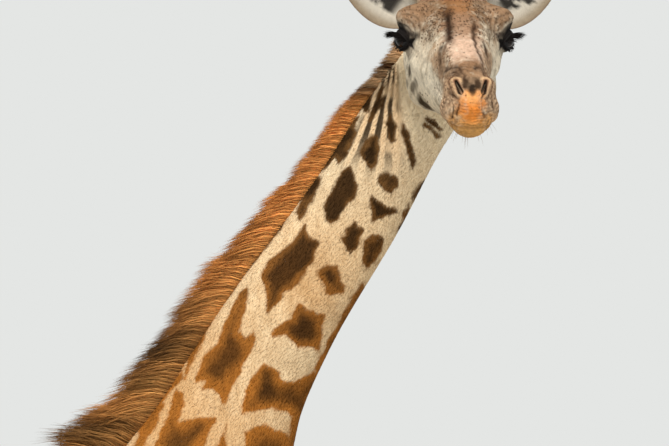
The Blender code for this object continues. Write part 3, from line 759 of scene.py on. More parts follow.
CREASES = [  # down each side of the bridge of the nose and over the nostrils: on the right, then on the left
    ((-0.05, 0.17, 0.036), (-0.055, 0.193, 0.021), (-0.057, 0.205, 0.007), (-0.052, 0.241, -0.003)),
    ((-0.043, 0.18, 0.042), (-0.048, 0.2, 0.032), (-0.049, 0.225, 0.022), (-0.045, 0.253, 0.014)),
    ((-0.05, 0.243, 0.006), (-0.045, 0.253, 0.014), (-0.034, 0.267, 0.025), (-0.022, 0.29, 0.03)),
    ((-0.022, 0.29, 0.03), (-0.015, 0.318, 0.026), (-0.015, 0.336, 0.019)),
    ((-0.048, 0.268, 0.006), (-0.042, 0.274, 0.011), (-0.031, 0.29, 0.023), (-0.021, 0.314, 0.025)),
    ((-0.046, 0.295, 0.008), (-0.04, 0.296, 0.016), (-0.03, 0.304, 0.021), (-0.022, 0.322, 0.02)),
    ((0.031, 0.103, 0.068), (0.021, 0.165, 0.055), (0.027, 0.216, 0.045), (0.033, 0.249, 0.033),
     (0.03, 0.311, 0.021)),
    ((0.014, 0.3, 0.03), (0.022, 0.285, 0.032), (0.034, 0.28, 0.024), (0.043, 0.3, 0.012)),
    ((0.048, 0.15, 0.034), (0.05, 0.215, 0.026), (0.047, 0.265, 0.018)),
]
LIP_CREASES = [
    ((-0.05, 0.341, -0.012), (-0.04, 0.358, -0.016), (-0.033, 0.373, -0.024), (-0.029, 0.38, -0.035),
     (-0.034, 0.38, -0.048)),
    ((-0.05, 0.352, -0.022), (-0.042, 0.366, -0.03), (-0.038, 0.372, -0.044), (-0.042, 0.372, -0.056)),
    ((0.025, 0.363, -0.005), (0.022, 0.375, -0.017), (0.024, 0.382, -0.034), (0.026, 0.384, -0.053)),
    ((0.046, 0.352, -0.022), (0.042, 0.366, -0.036), (0.044, 0.364, -0.052)),
]
NOSTRIL_WAY = unit(np.array((0.30, 0.75, 0.55)))  # which way the nostril opens


def nostril_away(m):
    """Distance from the slit, whatever the depth in it, and the share along it."""
    depth = (m - NOSTRIL[0]) @ NOSTRIL_WAY
    return to_segment(m - np.clip(depth, -0.020, 0.0)[:, None] * NOSTRIL_WAY, *NOSTRIL)


def wing(m, t):
    """1 on the outer side of the nostril, given the share t along it."""
    across = m[:, 0] - (NOSTRIL[0][0] * (1 - t) + NOSTRIL[1][0] * t)
    return ramp(across, -0.001, 0.005)


def wrinkles(h):
    """How deep the skin's creases are, from 0 to about 1."""
    m = mirrored_x(h)
    wavy = h + 0.007 * noise_vectors(h, 0.013, 4)
    patchy = ramp(noise(h + 1, 0.03), 0.25, 0.65)
    depths = [bump(to_lines(wavy, corners), 0.0040) for corners in CREASES]
    depths += [bump(to_bends(wavy, corners), 0.0034) for corners in LIP_CREASES]
    # folds round the wing of the nostril, and over it
    ring = np.linalg.norm(m - (0.034, 0.338, 0.0), axis=1)
    folded = ramp(ring, 0.022, 0.027) * ramp(ring, 0.080, 0.045) * ramp(m[:, 1], 0.372, 0.340)
    folds = ridges(2 * math.pi * (ring + 0.008 * noise(h, 0.02)) / 0.0088)
    depths.append(0.75 * folded * folds * patchy)
    # wrinkles across the lips
    lip = ramp(m[:, 1], 0.335, 0.360) * ramp(m[:, 2], -0.010, -0.030)
    folds = ridges(2 * math.pi * (m[:, 2] + 0.006 * noise(h, 0.015)) / 0.0066)
    depths.append(0.35 * lip * folds * ramp(noise(h, 0.018), 0.2, 0.7))
    # wrinkles over the brow, and below the eye
    q, r, _ = from_eye(m)
    fan = np.arctan2(q[:, 2], q[:, 1] - 0.02)
    above = ramp(r, 0.034, 0.042) * ramp(r, 0.088, 0.062) * ramp(q[:, 2], 0.0, 0.02)
    folds = ridges(r * 2 * math.pi / 0.0092 + 1.5 * np.sin(fan * 3) + 4 * noise(h, 0.03))
    depths.append(0.45 * above * folds * patchy)
    below = ramp(r, 0.032, 0.037) * ramp(r, 0.060, 0.046) * ramp(q[:, 2], 0.0, -0.012)
    depths.append(0.40 * below * ridges(r * 2 * math.pi / 0.0085 + 3 * noise(h, 0.02)))
    return np.max(depths, axis=0)


def head_relief(h):
    """How far the skin stands out from the plain head, by nostrils, mouth and folds."""
    m = mirrored_x(h)
    away, t = to_segment(m, *NOSTRIL)
    raised = -0.012 * ramp(away, 0.0034 + 0.0030 * t, 0.0010)
    raised += 0.0034 * bump(away - 0.0092, 0.0042) * wing(m, t)
    front = ramp(m[:, 1], 0.15, 0.19)
    raised -= 0.0030 * bump(gape(m), 0.0030) * front
    raised += 0.0014 * bump(gape(m) - 0.009, 0.006) * front
    raised -= 0.0027 * wrinkles(h)
    raised += 0.0018 * (noise(h, 0.03) - 0.5) * ramp(m[:, 1], 0.33, 0.25)
    return raised


def pleat_wave(points):
    """How deep, how plain and how shaded the folds of the turned neck are; the third is painted shade for
    their grooves.

    They fan down from behind the right eye, sharp and with the most painted shade towards the mane, and
    faint under the jaw.
    """
    down = FOLD_CENTRE[1] - points[:, 2]
    ahead = -(points[:, 1] - FOLD_CENTRE[0])
    reach = np.hypot(down, ahead)
    angle = np.arctan2(ahead, down)
    right = ramp(points[:, 0], place(0.02, 0, 0)[0], place(-0.02, 0, 0)[0])
    sharp = ramp(angle, 0.16, 0.02)
    shown = ramp(angle, -0.50, -0.36) * ramp(angle, 0.72, 0.50) * ramp(reach, 0.03, 0.06)
    shown = shown * ramp(reach, 0.24 * (1 - sharp) + 0.34 * sharp, 0.13 * (1 - sharp) + 0.20 * sharp)
    wave = ridges(angle * 48 + 3.0 * noise(points, 0.07) + 1.6 * noise(points + 2, 0.03))
    return wave, right * shown * (0.30 + 0.70 * sharp), right * shown * sharp


def pleats(points):
    wave, shown, _ = pleat_wave(points)
    return shown * (0.0012 - 0.0052 * wave)


def headness(points, tree):
    """1 on the head's own form, 0 on the neck behind it."""
    h = to_head(points)
    found = np.zeros(len(points))
    index = np.flatnonzero(in_head(points))
    close = np.abs(signed_distances(points[index], tree))
    found[index] = ramp(close, 0.022, 0.006) * ramp(h[index, 1], -0.17, -0.08)
    return found


def skin_relief(mesh, head_tree):
    """The fine relief of the skin, and the depth of the coat taken off."""
    points = positions(mesh)
    normal = vertex_normals(mesh)
    on_head = headness(points, head_tree)
    h = to_head(points)
    head = on_head > 0
    raised = pleats(points) * (1 - on_head)
    raised[head] += head_relief(h[head]) * on_head[head]
    points = points + normal * (raised - (COAT_DEPTH - FACE_THINNER * on_head))[:, None]
    h = to_head(points)
    near = np.linalg.norm(mirrored_x(h) - EYE_CENTRE, axis=1) < 0.06
    h[near] = lids(h[near])
    points[near] = from_head(h[near])
    put_positions(mesh, points)


def trimmed(mesh):
    """The skin ends where the hooves begin."""
    bm = bmesh.new()
    bm.from_mesh(mesh)
    geometry = bm.verts[:] + bm.edges[:] + bm.faces[:]
    cut = (0, 0, CORONET - 0.003)
    bmesh.ops.bisect_plane(bm, geom=geometry, plane_co=cut, plane_no=(0, 0, 1), clear_inner=True)
    bmesh.ops.holes_fill(bm, edges=[e for e in bm.edges if e.is_boundary], sides=0)
    bmesh.ops.triangulate(bm, faces=bm.faces[:])
    bm.to_mesh(mesh)
    bm.free()


# ---- ears and tail, which are part of the skin -------------------------------------------------

EAR_STEPS = 44
EAR_CORNERS = 21  # across one face


def ear_form(sign):
    """A leaf with a rolled foot: its rings, and the share along, across and whether inside of each point."""
    root, tip, facing = (np.array(v, float) for v in (EAR_ROOT, EAR_TIP, EAR_FACING))
    reach = tip - root
    across = unit(np.cross(reach, facing))
    facing = unit(np.cross(across, reach))
    points = []
    marks = []
    for k in range(EAR_STEPS + 1):
        t = k / EAR_STEPS
        half = EAR_HALF_WIDTH * max(0.05, math.sin(math.pi * (0.12 + 0.88 * t**0.8)) ** 0.85)
        hollow = EAR_HOLLOW * (1 - t) ** 0.7 + 0.006
        middle = root + reach * t + facing * (EAR_BOW * math.sin(math.pi * t))
        thick = EAR_THICKNESS * (1.2 - 0.75 * t)
        v = np.sin(np.linspace(-math.pi / 2, math.pi / 2, EAR_CORNERS))
        edge = middle + across * (half * v)[:, None] + facing * (hollow * v * v)[:, None]
        rim = (np.sqrt(np.clip(1 - v * v, 0, 1)) * 0.75 + 0.05) * thick
        front = edge + facing * (rim / 2)[:, None]
        back = (edge - facing * (rim / 2)[:, None])[::-1]
        points.append(np.concatenate([front, back[1:-1]]))
        marks += [(t, w, 1.0) for w in v] + [(t, w, 0.0) for w in v[::-1][1:-1]]
    points = np.array(points) * (sign, 1, 1)
    return from_head(points), np.array(marks)


def tail_form():
    """The dock of the tail, which runs on a little inside the long hair."""
    rows = smoothed([row for row in TAIL_LINE if row[1] > TAIL_HAIR - 0.2], 60)
    dock = np.interp(rows[:, 1], (1.2, 1.45), (0.012, 0.016)) + 0.02 * (rows[:, 1] > 1.45)
    rows[:, 2] = np.minimum(rows[:, 2], dock)
    first = np.array([place(0, f + r, up) for f, up, r in rows])
    second = np.array([place(0, f - r, up) for f, up, r in rows])
    side = np.tile((1.0, 0.0, 0.0), (len(rows), 1))
    return rings(first, second, side, rows[:, 2], corners=20)


def whole_skin():
    """The skin object, and for its vertices: part (0 body, 1 ear, 2 tail), ear places and headness."""
    forms = body_forms()
    trees = {n: BVHTree.FromPolygons([Vector(v) for v in f[0].tolist()], f[1]) for n, f in forms.items()}
    mesh = evened(mesh_object("skin", *joined(forms.values())), SKIN_VOXEL, SKIN_SMOOTHING)
    settle(mesh, trees)
    divide(mesh, neck)
    divide(mesh, upper_neck)
    divide(mesh, lambda points: face(points) | pleated(points))
    settle(mesh, trees)
    skin_relief(mesh, trees["head"])
    trimmed(mesh)
    verts = positions(mesh)
    mesh.calc_loop_triangles()
    shapes = [(verts, table(mesh.loop_triangles, "vertices", 3, np.int32))]
    bpy.data.meshes.remove(mesh)
    ears = [ear_form(sign) for sign in (1, -1)]
    shapes += [triangulated(*tube(points)) for points, _ in ears]
    shapes.append(triangulated(*tube(tail_form())))
    counts = [len(v) for v, _ in shapes]
    part = np.repeat((0.0, 1.0, 1.0, 2.0), counts)
    ear_marks = np.zeros((sum(counts), 3))
    ear_marks[part == 1] = np.concatenate([marks for _, marks in ears])
    on_head = (part == 1).astype(float)
    on_head[:counts[0]] = headness(verts, trees["head"])
    bases = np.cumsum([0] + counts[:-1])
    all_verts = np.concatenate([v for v, _ in shapes])
    all_faces = np.concatenate([f + base for (_, f), base in zip(shapes, bases)])
    return mesh_object("skin", all_verts, all_faces), part, ear_marks, on_head


def triangulated(verts, faces):
    triangles = []
    for face in faces:
        triangles += [(face[0], face[k], face[k + 1]) for k in range(1, len(face) - 1)]
    return verts, np.array(triangles)


def unwrap(obj):
    """An unwrap of the skin's own shape, named OFBake."""
    obj.data.uv_layers.new(name="OFBake")
    bpy.context.view_layer.objects.active = obj
    obj.select_set(True)
    bpy.ops.object.mode_set(mode="EDIT")
    bpy.ops.mesh.select_all(action="SELECT")
    bpy.ops.uv.smart_project(angle_limit=1.15, island_margin=0.002)
    bpy.ops.object.mode_set(mode="OBJECT")
    obj.select_set(False)


# ---- markings ----------------------------------------------------------------------------------


def leaf_distance(places, outline):
    """Signed distance inside an outline, in metres, for places (along, across in metres)."""
    inside = np.zeros(len(places), bool)
    nearest = np.full(len(places), 1e9)
    for (x1, y1), (x2, y2) in zip(outline, np.roll(outline, -1, axis=0)):
        away, _ = to_segment(places, (x1, y1), (x2, y2))
        nearest = np.minimum(nearest, away)
        crosses = (y1 > places[:, 1]) != (y2 > places[:, 1])
        with np.errstate(divide="ignore", invalid="ignore"):
            at = x1 + (places[:, 1] - y1) * (x2 - x1) / (y2 - y1 if y2 != y1 else 1e-9)
        inside ^= crosses & (places[:, 0] < at)
    return np.where(inside, nearest, -nearest)


def side_span(along):
    """How far it is from crest to throat over the side of the neck."""
    return np.interp(along, (0.5, 1.0, 1.6), (0.40, 0.26, 0.18))


def neck_marks(points):
    """Signed distance inside the neck's leaves, and whether the place has no other marks."""
    along, share, left = neck_place(points)
    distance = np.full(len(points), -0.2)
    for on_left, slide in ((False, 0.0), (True, LEAF_SLIDE)):
        around = np.where((left > 0) == on_left, share, np.where(share > 0.5, 2 - share, -share))
        places = np.column_stack((along + slide, (around - 0.5) * side_span(along)))
        for leaf in LEAVES:
            outline = np.array(leaf)
            outline[:, 1] = (outline[:, 1] - 0.5) * side_span(outline[:, 0] - slide)
            low = outline.min(0) - 0.05
            high = outline.max(0) + 0.05
            close = np.flatnonzero(((places > low) & (places < high)).all(1))
            distance[close] = np.maximum(distance[close], leaf_distance(places[close], outline))
    distance[points[:, 2] < 2.75] = -0.2
    return distance, (along > LEAVES_FROM) & (points[:, 2] > 2.88)


def mark_size(points):
    """About how far apart the middles of the marks are."""
    heights = (0.15, 0.7, 1.2, 1.7, 2.2, 2.8, 3.2)
    return np.interp(points[:, 2], heights, (0.060, 0.080, 0.130, 0.215, 0.255, 0.235, 0.18))


def scattered_sites(points):
    """Middles of the marks over the body, spread evenly at mark_size."""
    draw = np.random.default_rng(5)
    low = points[points[:, 2] < 3.05]
    candidates = low[draw.permutation(len(low))[:16000]]
    sizes = mark_size(candidates)
    kept = np.empty((0, 3))
    for point, size in zip(candidates, sizes):
        if not len(kept) or ((kept - point) ** 2).sum(1).min() > (0.86 * size) ** 2:
            kept = np.vstack([kept, point])
    return kept


def cell_marks(points, sites):
    """Signed distance inside ragged cells round the sites, parted by pale ground."""
    size = mark_size(points)
    warp = 0.105 * noise_vectors(points, 0.090, 7)
    warp += 0.050 * noise_vectors(points + 3, 0.036, 5)
    moved = points + warp * (size / 0.2)[:, None]
    first = np.full(len(points), 1e9)
    second = first.copy()
    for start in range(0, len(points), 20000):
        part = slice(start, start + 20000)
        squared = ((moved[part] ** 2).sum(1)[:, None] + (sites**2).sum(1)) - 2 * moved[part] @ sites.T
        two = np.partition(squared, 1, axis=1)[:, :2]
        first[part], second[part] = np.sqrt(np.maximum(two, 0)).T
    border = (second - first) / 2
    return border - size * (0.080 + 0.05 * (noise(points + 11, 0.3) - 0.5))


def marks(points, sites, on_head):
    """Signed distance inside the dark marks anywhere on the body."""
    cells = cell_marks(points, sites)
    leaves, region = neck_marks(points)
    apart = np.minimum(cells, -leaves - 0.02)
    whole = np.where(region, leaves, np.maximum(leaves, apart))
    low = ramp(points[:, 2], 0.62, 0.30) * 0.03  # they fade out down the cannons
    belly = ramp(points[:, 2], 1.72, 1.60) * ramp(points[:, 2], 1.40, 1.50) * 0.02
    ragged = 0.011 * (noise(points, 0.018) - 0.5) + 0.006 * (noise(points, 0.007) - 0.5)
    ragged *= np.where(region, 0.75, 1.3)
    return np.where(on_head > 0.5, -0.2, whole - low - belly + ragged)


def body_colours(points, distance):
    """Ground and mark colours over neck, trunk and legs."""
    up = points[:, 2]
    streak = noise(points * (1, 1, 0.35), 0.012)
    ground = mixed(TAN, PALE, ramp(noise(points, 0.16) + 0.25 * streak, 0.25, 0.95))
    # lighter towards the head: partly the neck's own paler tone, partly painted light against the shade the
    # head casts there
    ground = mixed(ground, linear(232, 214, 182), ramp(up, 3.42, 3.75) * 0.85)
    ground = mixed(ground, LEG_PALE, ramp(up, 1.55, 1.10) * 0.8)
    ground = ground * (0.90 + 0.12 * streak + 0.10 * noise(points + 6, 0.05))[:, None]
    depth = distance + 0.02 * (noise(points + 4, 0.03) - 0.5)
    core = ramp(depth, 0.001, np.interp(up, (3.0, 3.5), (0.046, 0.013)))
    orange = ramp(up, 3.65, 3.10)
    edge = mixed(linear(104, 72, 38), RUST, orange)
    centre = mixed(SMOKE, linear(104, 62, 24), 0.7 * orange * noise(points + 9, 0.09))
    mark = mixed(edge, centre, core * (0.70 + 0.30 * noise(points + 2, 0.045)))
    mark = mark * (0.88 + 0.24 * streak)[:, None]
    return ground, mark


# The face, patch by patch, the same on both sides: middle, reach, colour and strength.
FACE_PATCHES = [
    ((0.0, 0.33, -0.03), (0.085, 0.085, 0.085), (186, 150, 112), 0.95),  # muzzle
    ((0.074, 0.076, 0.014), (0.034, 0.066, 0.046), (206, 190, 166), 0.85),  # pale hollow before the eye
    ((0.0, 0.0, 0.085), (0.14, 0.152, 0.084), (127, 97, 69), 0.97),  # forehead
    ((0.0, 0.02, 0.1), (0.036, 0.1, 0.05), (156, 107, 66), 0.75),
    ((0.0, 0.215, 0.046), (0.046, 0.115, 0.038), (204, 169, 144), 0.95),  # bridge of the nose
    ((0.0, 0.115, 0.066), (0.05, 0.055, 0.034), (157, 122, 94), 0.9),
    ((0.0, 0.306, 0.032), (0.05, 0.05, 0.03), (134, 99, 68), 0.92),  # over the nostrils
    ((0.097, 0.004, 0.07), (0.046, 0.07, 0.03), (152, 118, 88), 0.85),  # brow
    ((0.056, 0.225, 0.01), (0.022, 0.1, 0.04), (172, 138, 106), 0.9),  # side of the nose
    ((0.038, 0.332, 0.0), (0.04, 0.054, 0.04), (166, 133, 103), 0.92),  # folds round the nostril
    ((0.06, 0.325, -0.048), (0.038, 0.09, 0.05), (198, 165, 132), 0.92),  # side of the muzzle
    ((0.0, 0.378, -0.074), (0.052, 0.044, 0.036), (222, 160, 92), 0.92),  # upper lip, wide below
    ((0.0, 0.374, -0.034), (0.028, 0.038, 0.036), (224, 134, 55), 0.97),  # and narrow above
    ((0.0, 0.37, -0.012), (0.024, 0.02, 0.016), (236, 168, 104), 0.85),
    ((0.0, 0.346, 0.014), (0.024, 0.02, 0.016), (122, 98, 76), 0.8),
    ((0.013, 0.347, 0.011), (0.008, 0.021, 0.013), (52, 36, 23), 0.9),  # dark between the nostrils
    ((0.0, 0.361, 0.003), (0.009, 0.017, 0.013), (40, 30, 21), 0.98),
    ((0.0, 0.365, -0.094), (0.056, 0.054, 0.026), (200, 148, 84), 0.9),  # chin
]
FACE_STREAKS = [  # on one side only: corners, width, colour and strength
    (((-0.025, 0.056, 0.08), (-0.026, 0.101, 0.07), (-0.031, 0.165, 0.054)), 0.0105, (36, 18, 4), 0.98),
    (((-0.016, 0.0, 0.105), (-0.025, 0.056, 0.08)), 0.006, (120, 84, 54), 0.6),
    (((0.031, 0.09, 0.07), (0.027, 0.135, 0.062)), 0.006, (96, 66, 42), 0.8),
]
JAW_SPOTS = [  # grey marks on the right of the jaw: middle, size, strength
    ((-0.097, -0.003, -0.08), 0.015, 0.8),
    ((-0.086, 0.04, -0.088), 0.014, 0.6),
    ((-0.088, 0.026, -0.106), 0.015, 0.75),
    ((-0.064, 0.06, -0.134), 0.027, 0.97),
    ((-0.072, 0.052, -0.124), 0.014, 0.7),
    ((-0.099, -0.016, -0.112), 0.012, 0.55),
]
CHEEK = linear(228, 214, 190)
NEAR_BLACK = linear(26, 22, 20)
# Keeps the grain of the noise off the head's own axes.
TURNED = np.array(((0.80, -0.60, 0.00), (0.48, 0.64, -0.60), (0.36, 0.48, 0.80)))
FRECKLES = 2400
FLATTENED = (1.0, 0.6, 1.0)  # freckles are longer along the face than across it


def freckle_sites():
    """Places and sizes of the freckles: crowded on brow and muzzle, few on the cheeks and the bridge."""
    draw = np.random.default_rng(3)
    verts, _ = head_form()
    h = to_head(verts[draw.permutation(len(verts))])
    brow = ramp(h[:, 1], 0.19, 0.09) * ramp(h[:, 2], 0.0, 0.04) * ramp(h[:, 1], -0.12, -0.05)
    muzzle = ramp(h[:, 1], 0.25, 0.31) * ramp(np.abs(h[:, 0]), 0.022, 0.034)
    side = ramp(np.abs(h[:, 0]), 0.034, 0.044) * ramp(h[:, 1], 0.15, 0.20) * ramp(h[:, 2], -0.02, 0.0)
    wanted = 0.05 + 0.95 * np.maximum(np.maximum(brow, 0.12 * muzzle), 0.45 * side)
    chosen = h[draw.random(len(h)) < wanted][:FRECKLES]
    tree = KDTree(len(chosen))
    for i, middle in enumerate(chosen * FLATTENED):
        tree.insert(middle, i)
    tree.balance()
    return tree, draw.uniform(0.0008, 0.0022, len(chosen)) * draw.choice((1.0, 1.0, 1.3), len(chosen))


FRECKLE_TREE, FRECKLE_SIZES = freckle_sites()


def freckles(h):
    """1 in the middle of a freckle, 0 between them."""
    found = [FRECKLE_TREE.find(point) for point in h * FLATTENED]
    away = np.array([f[2] for f in found])
    size = FRECKLE_SIZES[[f[1] for f in found]]
    return ramp(away, size * 1.25, size * 0.5)


def face_colours(h):
    """Colour of the face's coat and bare skin, for head points."""
    m = mirrored_x(h)
    colour = np.tile(CHEEK, (len(h), 1))
    mottled = ramp(noise(h + 6, 0.014), 0.45, 0.75) * ramp(noise(h + 7, 0.045), 0.30, 0.60)
    layers = [
        ((208, 190, 160), ramp(h[:, 2], -0.06, -0.12) * 0.6),
        ((150, 134, 110), 0.60 * mottled),
    ]
    for middle, reach, tone, strength in FACE_PATCHES:
        away = (((m - middle) / reach) ** 2).sum(1)
        edge = away + 0.9 * (noise(h, 0.014) - 0.5) + 0.7 * (noise(h, 0.005) - 0.5)
        layers.append((tone, strength * ramp(edge, 1.8, 0.0)))
    for corners, width, tone, strength in FACE_STREAKS:
        away = to_lines(h, corners) + 0.006 * (noise(h, 0.009) - 0.5)
        layers.append((tone, strength * bump(away, width)))
    for middle, size, strength in JAW_SPOTS:
        away = np.linalg.norm(h - middle, axis=1) + 0.016 * (noise(h, 0.012) - 0.5)
        layers.append(((56, 43, 26), strength * ramp(away, size * 1.3, size * 0.4)))
    lips = ramp(h[:, 1], 0.32, 0.34) * ramp(h[:, 2], -0.02, -0.04)
    pores = ramp(noise(h @ TURNED, 0.0046), 0.42, 0.70) * ramp(np.abs(h[:, 0]), 0.024, 0.036)
    layers += [
        ((66, 43, 28), (0.90 - 0.60 * lips) * freckles(h)),
        ((104, 74, 50), 0.50 * pores * ramp(h[:, 1], 0.14, 0.20)),
        # painted shade in the creases, as deep as they are cut
        ((54, 34, 21), 0.95 * wrinkles(h)),
    ]
    away, t = nostril_away(m)
    rim = bump(away - 0.0095, 0.0032) * np.maximum(0.42 * wing(m, t), ramp(t, 0.45, 0.05))
    layers += [
        ((212, 174, 132), 0.80 * (rim * ramp(noise(h + 5, 0.009), 0.15, 0.50))),
        # painted shade in the crease at the foot of the nostril's wing
        ((92, 62, 42), 0.7 * bump(away - 0.0165, 0.0026) * wing(m, t)),
        # painted shade inside the nostril, darkening to near black in the slit
        ((132, 92, 66), 0.8 * ramp(away, 0.0078, 0.0052)),
        ((14, 8, 5), ramp(away, 0.0048 + 0.0036 * t, 0.0022 + 0.0032 * t)),
        # painted shade in the groove between the lips
        ((104, 72, 50), 0.30 * bump(gape(m), 0.0026) * ramp(m[:, 1], 0.16, 0.20)),
    ]
    q, r, direction = from_eye(m)
    opening = eye_opening(direction)
    upper = ramp(q @ EYE_UP, -0.005, 0.012)
    dark = ramp(opening + 0.06 * (noise(h, 0.008) - 0.5) - 0.05 * upper, 0.34, 0.20) * (r < 0.045)
    corner, _ = to_segment(m, (0.104, 0.030, 0.022), (0.089, 0.046, 0.021))
    stain, _ = to_segment(m, (0.090, 0.024, 0.004), (0.082, 0.046, -0.006))
    layers += [
        ((104, 88, 74), 0.60 * ramp(r, 0.054, 0.038) * ramp(opening, 0.80, 0.45)),
        ((26, 22, 20), dark),
        ((40, 32, 28), 0.95 * bump(corner + 0.004 * (noise(h, 0.007) - 0.5), 0.0078)),
        ((54, 44, 38), 0.85 * bump(stain, 0.0060)),
    ]
    for tone, share in layers:
        colour = mixed(colour, linear(*tone), share)
    return colour * (0.68 + 0.38 * noise(h @ TURNED, 0.0034) + 0.28 * noise(h @ TURNED, 0.008))[:, None]


def ear_colours(marks_on_ear, h):
    """Cream inside with black flecks near the rim, greyer outside."""
    t, v, inside = marks_on_ear.T
    outside = mixed(linear(186, 174, 154), linear(140, 118, 96), ramp(t, 0.55, 1.0) * 0.6)
    within = mixed(linear(206, 197, 182), linear(152, 136, 114), ramp(np.abs(v), 0.45, 0.90))
    strands = noise(h * (0.35, 1.0, 1.0), 0.009)
    core = ramp(t, 0.12, 0.22) * ramp(t, 0.72, 0.45)
    core = core * ramp(np.abs(v - 0.10) + 0.9 * (strands - 0.5), 0.44, 0.30)
    within = mixed(within, NEAR_BLACK, 0.95 * core)
    colour = mixed(outside, within, inside)
    rim = ramp(np.abs(v), 0.90, 0.985)
    return mixed(colour, linear(120, 96, 76), 0.6 * rim) * (0.88 + 0.2 * noise(h, 0.004))[:, None]


def paint(points, sites, part, ear_marks, on_head):
    """Ground colour, mark colour and signed distance inside the marks, for places on the skin."""
    h = to_head(points)
    distance = marks(points, sites, on_head)
    ground, mark = body_colours(points, distance)
    wave, shown, dark = pleat_wave(points)
    ground = mixed(ground, linear(236, 200, 156), 0.7 * dark)
    # painted shade: the grooves of the folds darkened, and near the mane in broken patches that also stand
    # for a dark mark seen between the folds
    groove_shade_patches = dark * ramp(noise(points + 1, 0.040), 0.15, 0.45)
    ground = mixed(ground, SMOKE, np.maximum(0.35 * wave * shown, 0.92 * groove_shade_patches * ramp(wave, 0.06, 0.38)))
    face = np.flatnonzero((on_head > 0) & (part == 0))
    ground[face] = mixed(ground[face], face_colours(h[face]), ramp(on_head[face], 0.1, 0.9))
    ears = np.flatnonzero(part == 1)
    ground[ears] = ear_colours(ear_marks[ears], h[ears])
    distance[ears] = -0.2
    return ground, mark, distance


# ---- tufts and locks ---------------------------------------------------------------------------


def lie_of_coat(points, part, on_head):
    """Which way the hair lies: back from the nose and along the trunk, down neck and legs, out on ears."""
    up = points[:, 2]
    section = np.linalg.norm(points[:, None] - MIDDLE[None, 30::3], axis=2).argmin(1) * 3 + 30
    neck_way = -AXIS[np.minimum(section, len(AXIS) - 1)] + (0, 0.10, -0.25)
    trunk_way = np.array((0.0, 0.92, -0.38))
    leg_way = np.array((0.0, 0.12, -1.0))
    way = mixed(np.tile(trunk_way, (len(points), 1)), neck_way, ramp(up, 2.35, 2.75))
    way = mixed(way, leg_way, ramp(up, 1.75, 1.40))
    h = to_head(points)
    outward = np.column_stack((0.25 * np.sign(h[:, 0]), np.full(len(h), -1.0), 0.10 + 0 * h[:, 0]))
    way = mixed(way, outward @ HEAD_AXES.T, ramp(on_head, 0.2, 0.8))
    ears = part == 1
    if ears.any():
        reach = unit(np.array(EAR_TIP) - np.array(EAR_ROOT))
        sides = reach * np.column_stack((np.sign(h[ears, 0]), *np.ones((2, ears.sum()))))
        way[ears] = sides @ HEAD_AXES.T
    way[part == 2] = (0, 0, -1)
    return way + 0.5 * noise_vectors(points, 0.10, 5)


def skin_surface(skin):
    """The skin as arrays: vertices, corners of each triangle, normals, places on the unwrap."""
    mesh = skin.data
    corners = table(mesh.loops, "vertex_index", 1, np.int32).reshape(-1, 3)
    uv = table(mesh.uv_layers["OFBake"].data, "uv", 2).reshape(-1, 3, 2).astype(float)
    return positions(mesh), corners, vertex_normals(mesh), uv


def sown(surface, chosen, density):
    """Roots sown evenly over the chosen triangles: their triangle and the weight of each corner."""
    verts, triangles, _, _ = surface
    index = np.flatnonzero(chosen)
    a, b, c = (verts[triangles[index, k]] for k in range(3))
    share = np.linalg.norm(np.cross(b - a, c - a), axis=1) / 2 * density
    heap = np.cumsum(share)
    count = int(heap[-1])
    at = np.searchsorted(heap, np.arange(count) + rng.random(count))
    at = np.minimum(at, len(index) - 1)
    u = np.sqrt(rng.random(count))
    v = rng.random(count)
    return index[at], np.column_stack((1 - u, u * (1 - v), u * v))


def spikes(rings_of_three, tips):
    """Closed three-sided locks, from rings (count, rings, 3, xyz) and tips (count, xyz)."""
    count, steps = rings_of_three.shape[:2]
    verts = np.concatenate([rings_of_three.reshape(count, -1, 3), tips[:, None]], axis=1)
    one = []
    for k in range(steps - 1):
        for j in range(3):
            a = 3 * k + j
            b = 3 * k + (j + 1) % 3
            one += [(a, b, b + 3), (a, b + 3, a + 3)]
    last = 3 * (steps - 1)
    tip = 3 * steps
    one += [(last + j, last + (j + 1) % 3, tip) for j in range(3)]
    one += [(0, 2, 1)]
    one = np.array(one)
    return verts.reshape(-1, 3), (one + (np.arange(count) * (tip + 1))[:, None, None]).reshape(-1, 3)


def patch_uv(root_uv, triangles, per_lock):
    """Each lock's patch at its root's place on the unwrap, for every loop."""
    across = (np.arange(per_lock) % 3 - 1) * 0.0012
    along = np.arange(per_lock) / (per_lock - 1) * 0.003 - 0.0015
    offsets = np.column_stack((across, along))
    every = (root_uv[:, None] + offsets[None]).reshape(-1, 2)
    return np.clip(every[triangles.ravel()], 0, 1)


def dressed(obj, material, slot, *nodes):
    """Gives a piece its material, the body it rides on, and the nodes it is shown for; its slot is not used.
    """
    obj.data.materials.append(material)
    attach(obj, "root")
    if nodes:
        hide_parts(*nodes)
    return obj


def hair_piece(name, verts, triangles, tints, root_uv, material, slot, *nodes):
    obj = mesh_object(name, verts, triangles)
    layer = obj.data.uv_layers.new(name="OFBake")
    uv = patch_uv(root_uv, triangles, len(verts) // len(root_uv))
    layer.data.foreach_set("uv", uv.astype(np.float32).ravel())
    store(obj.data, "tint", tints)
    return dressed(obj, material, slot, *nodes)


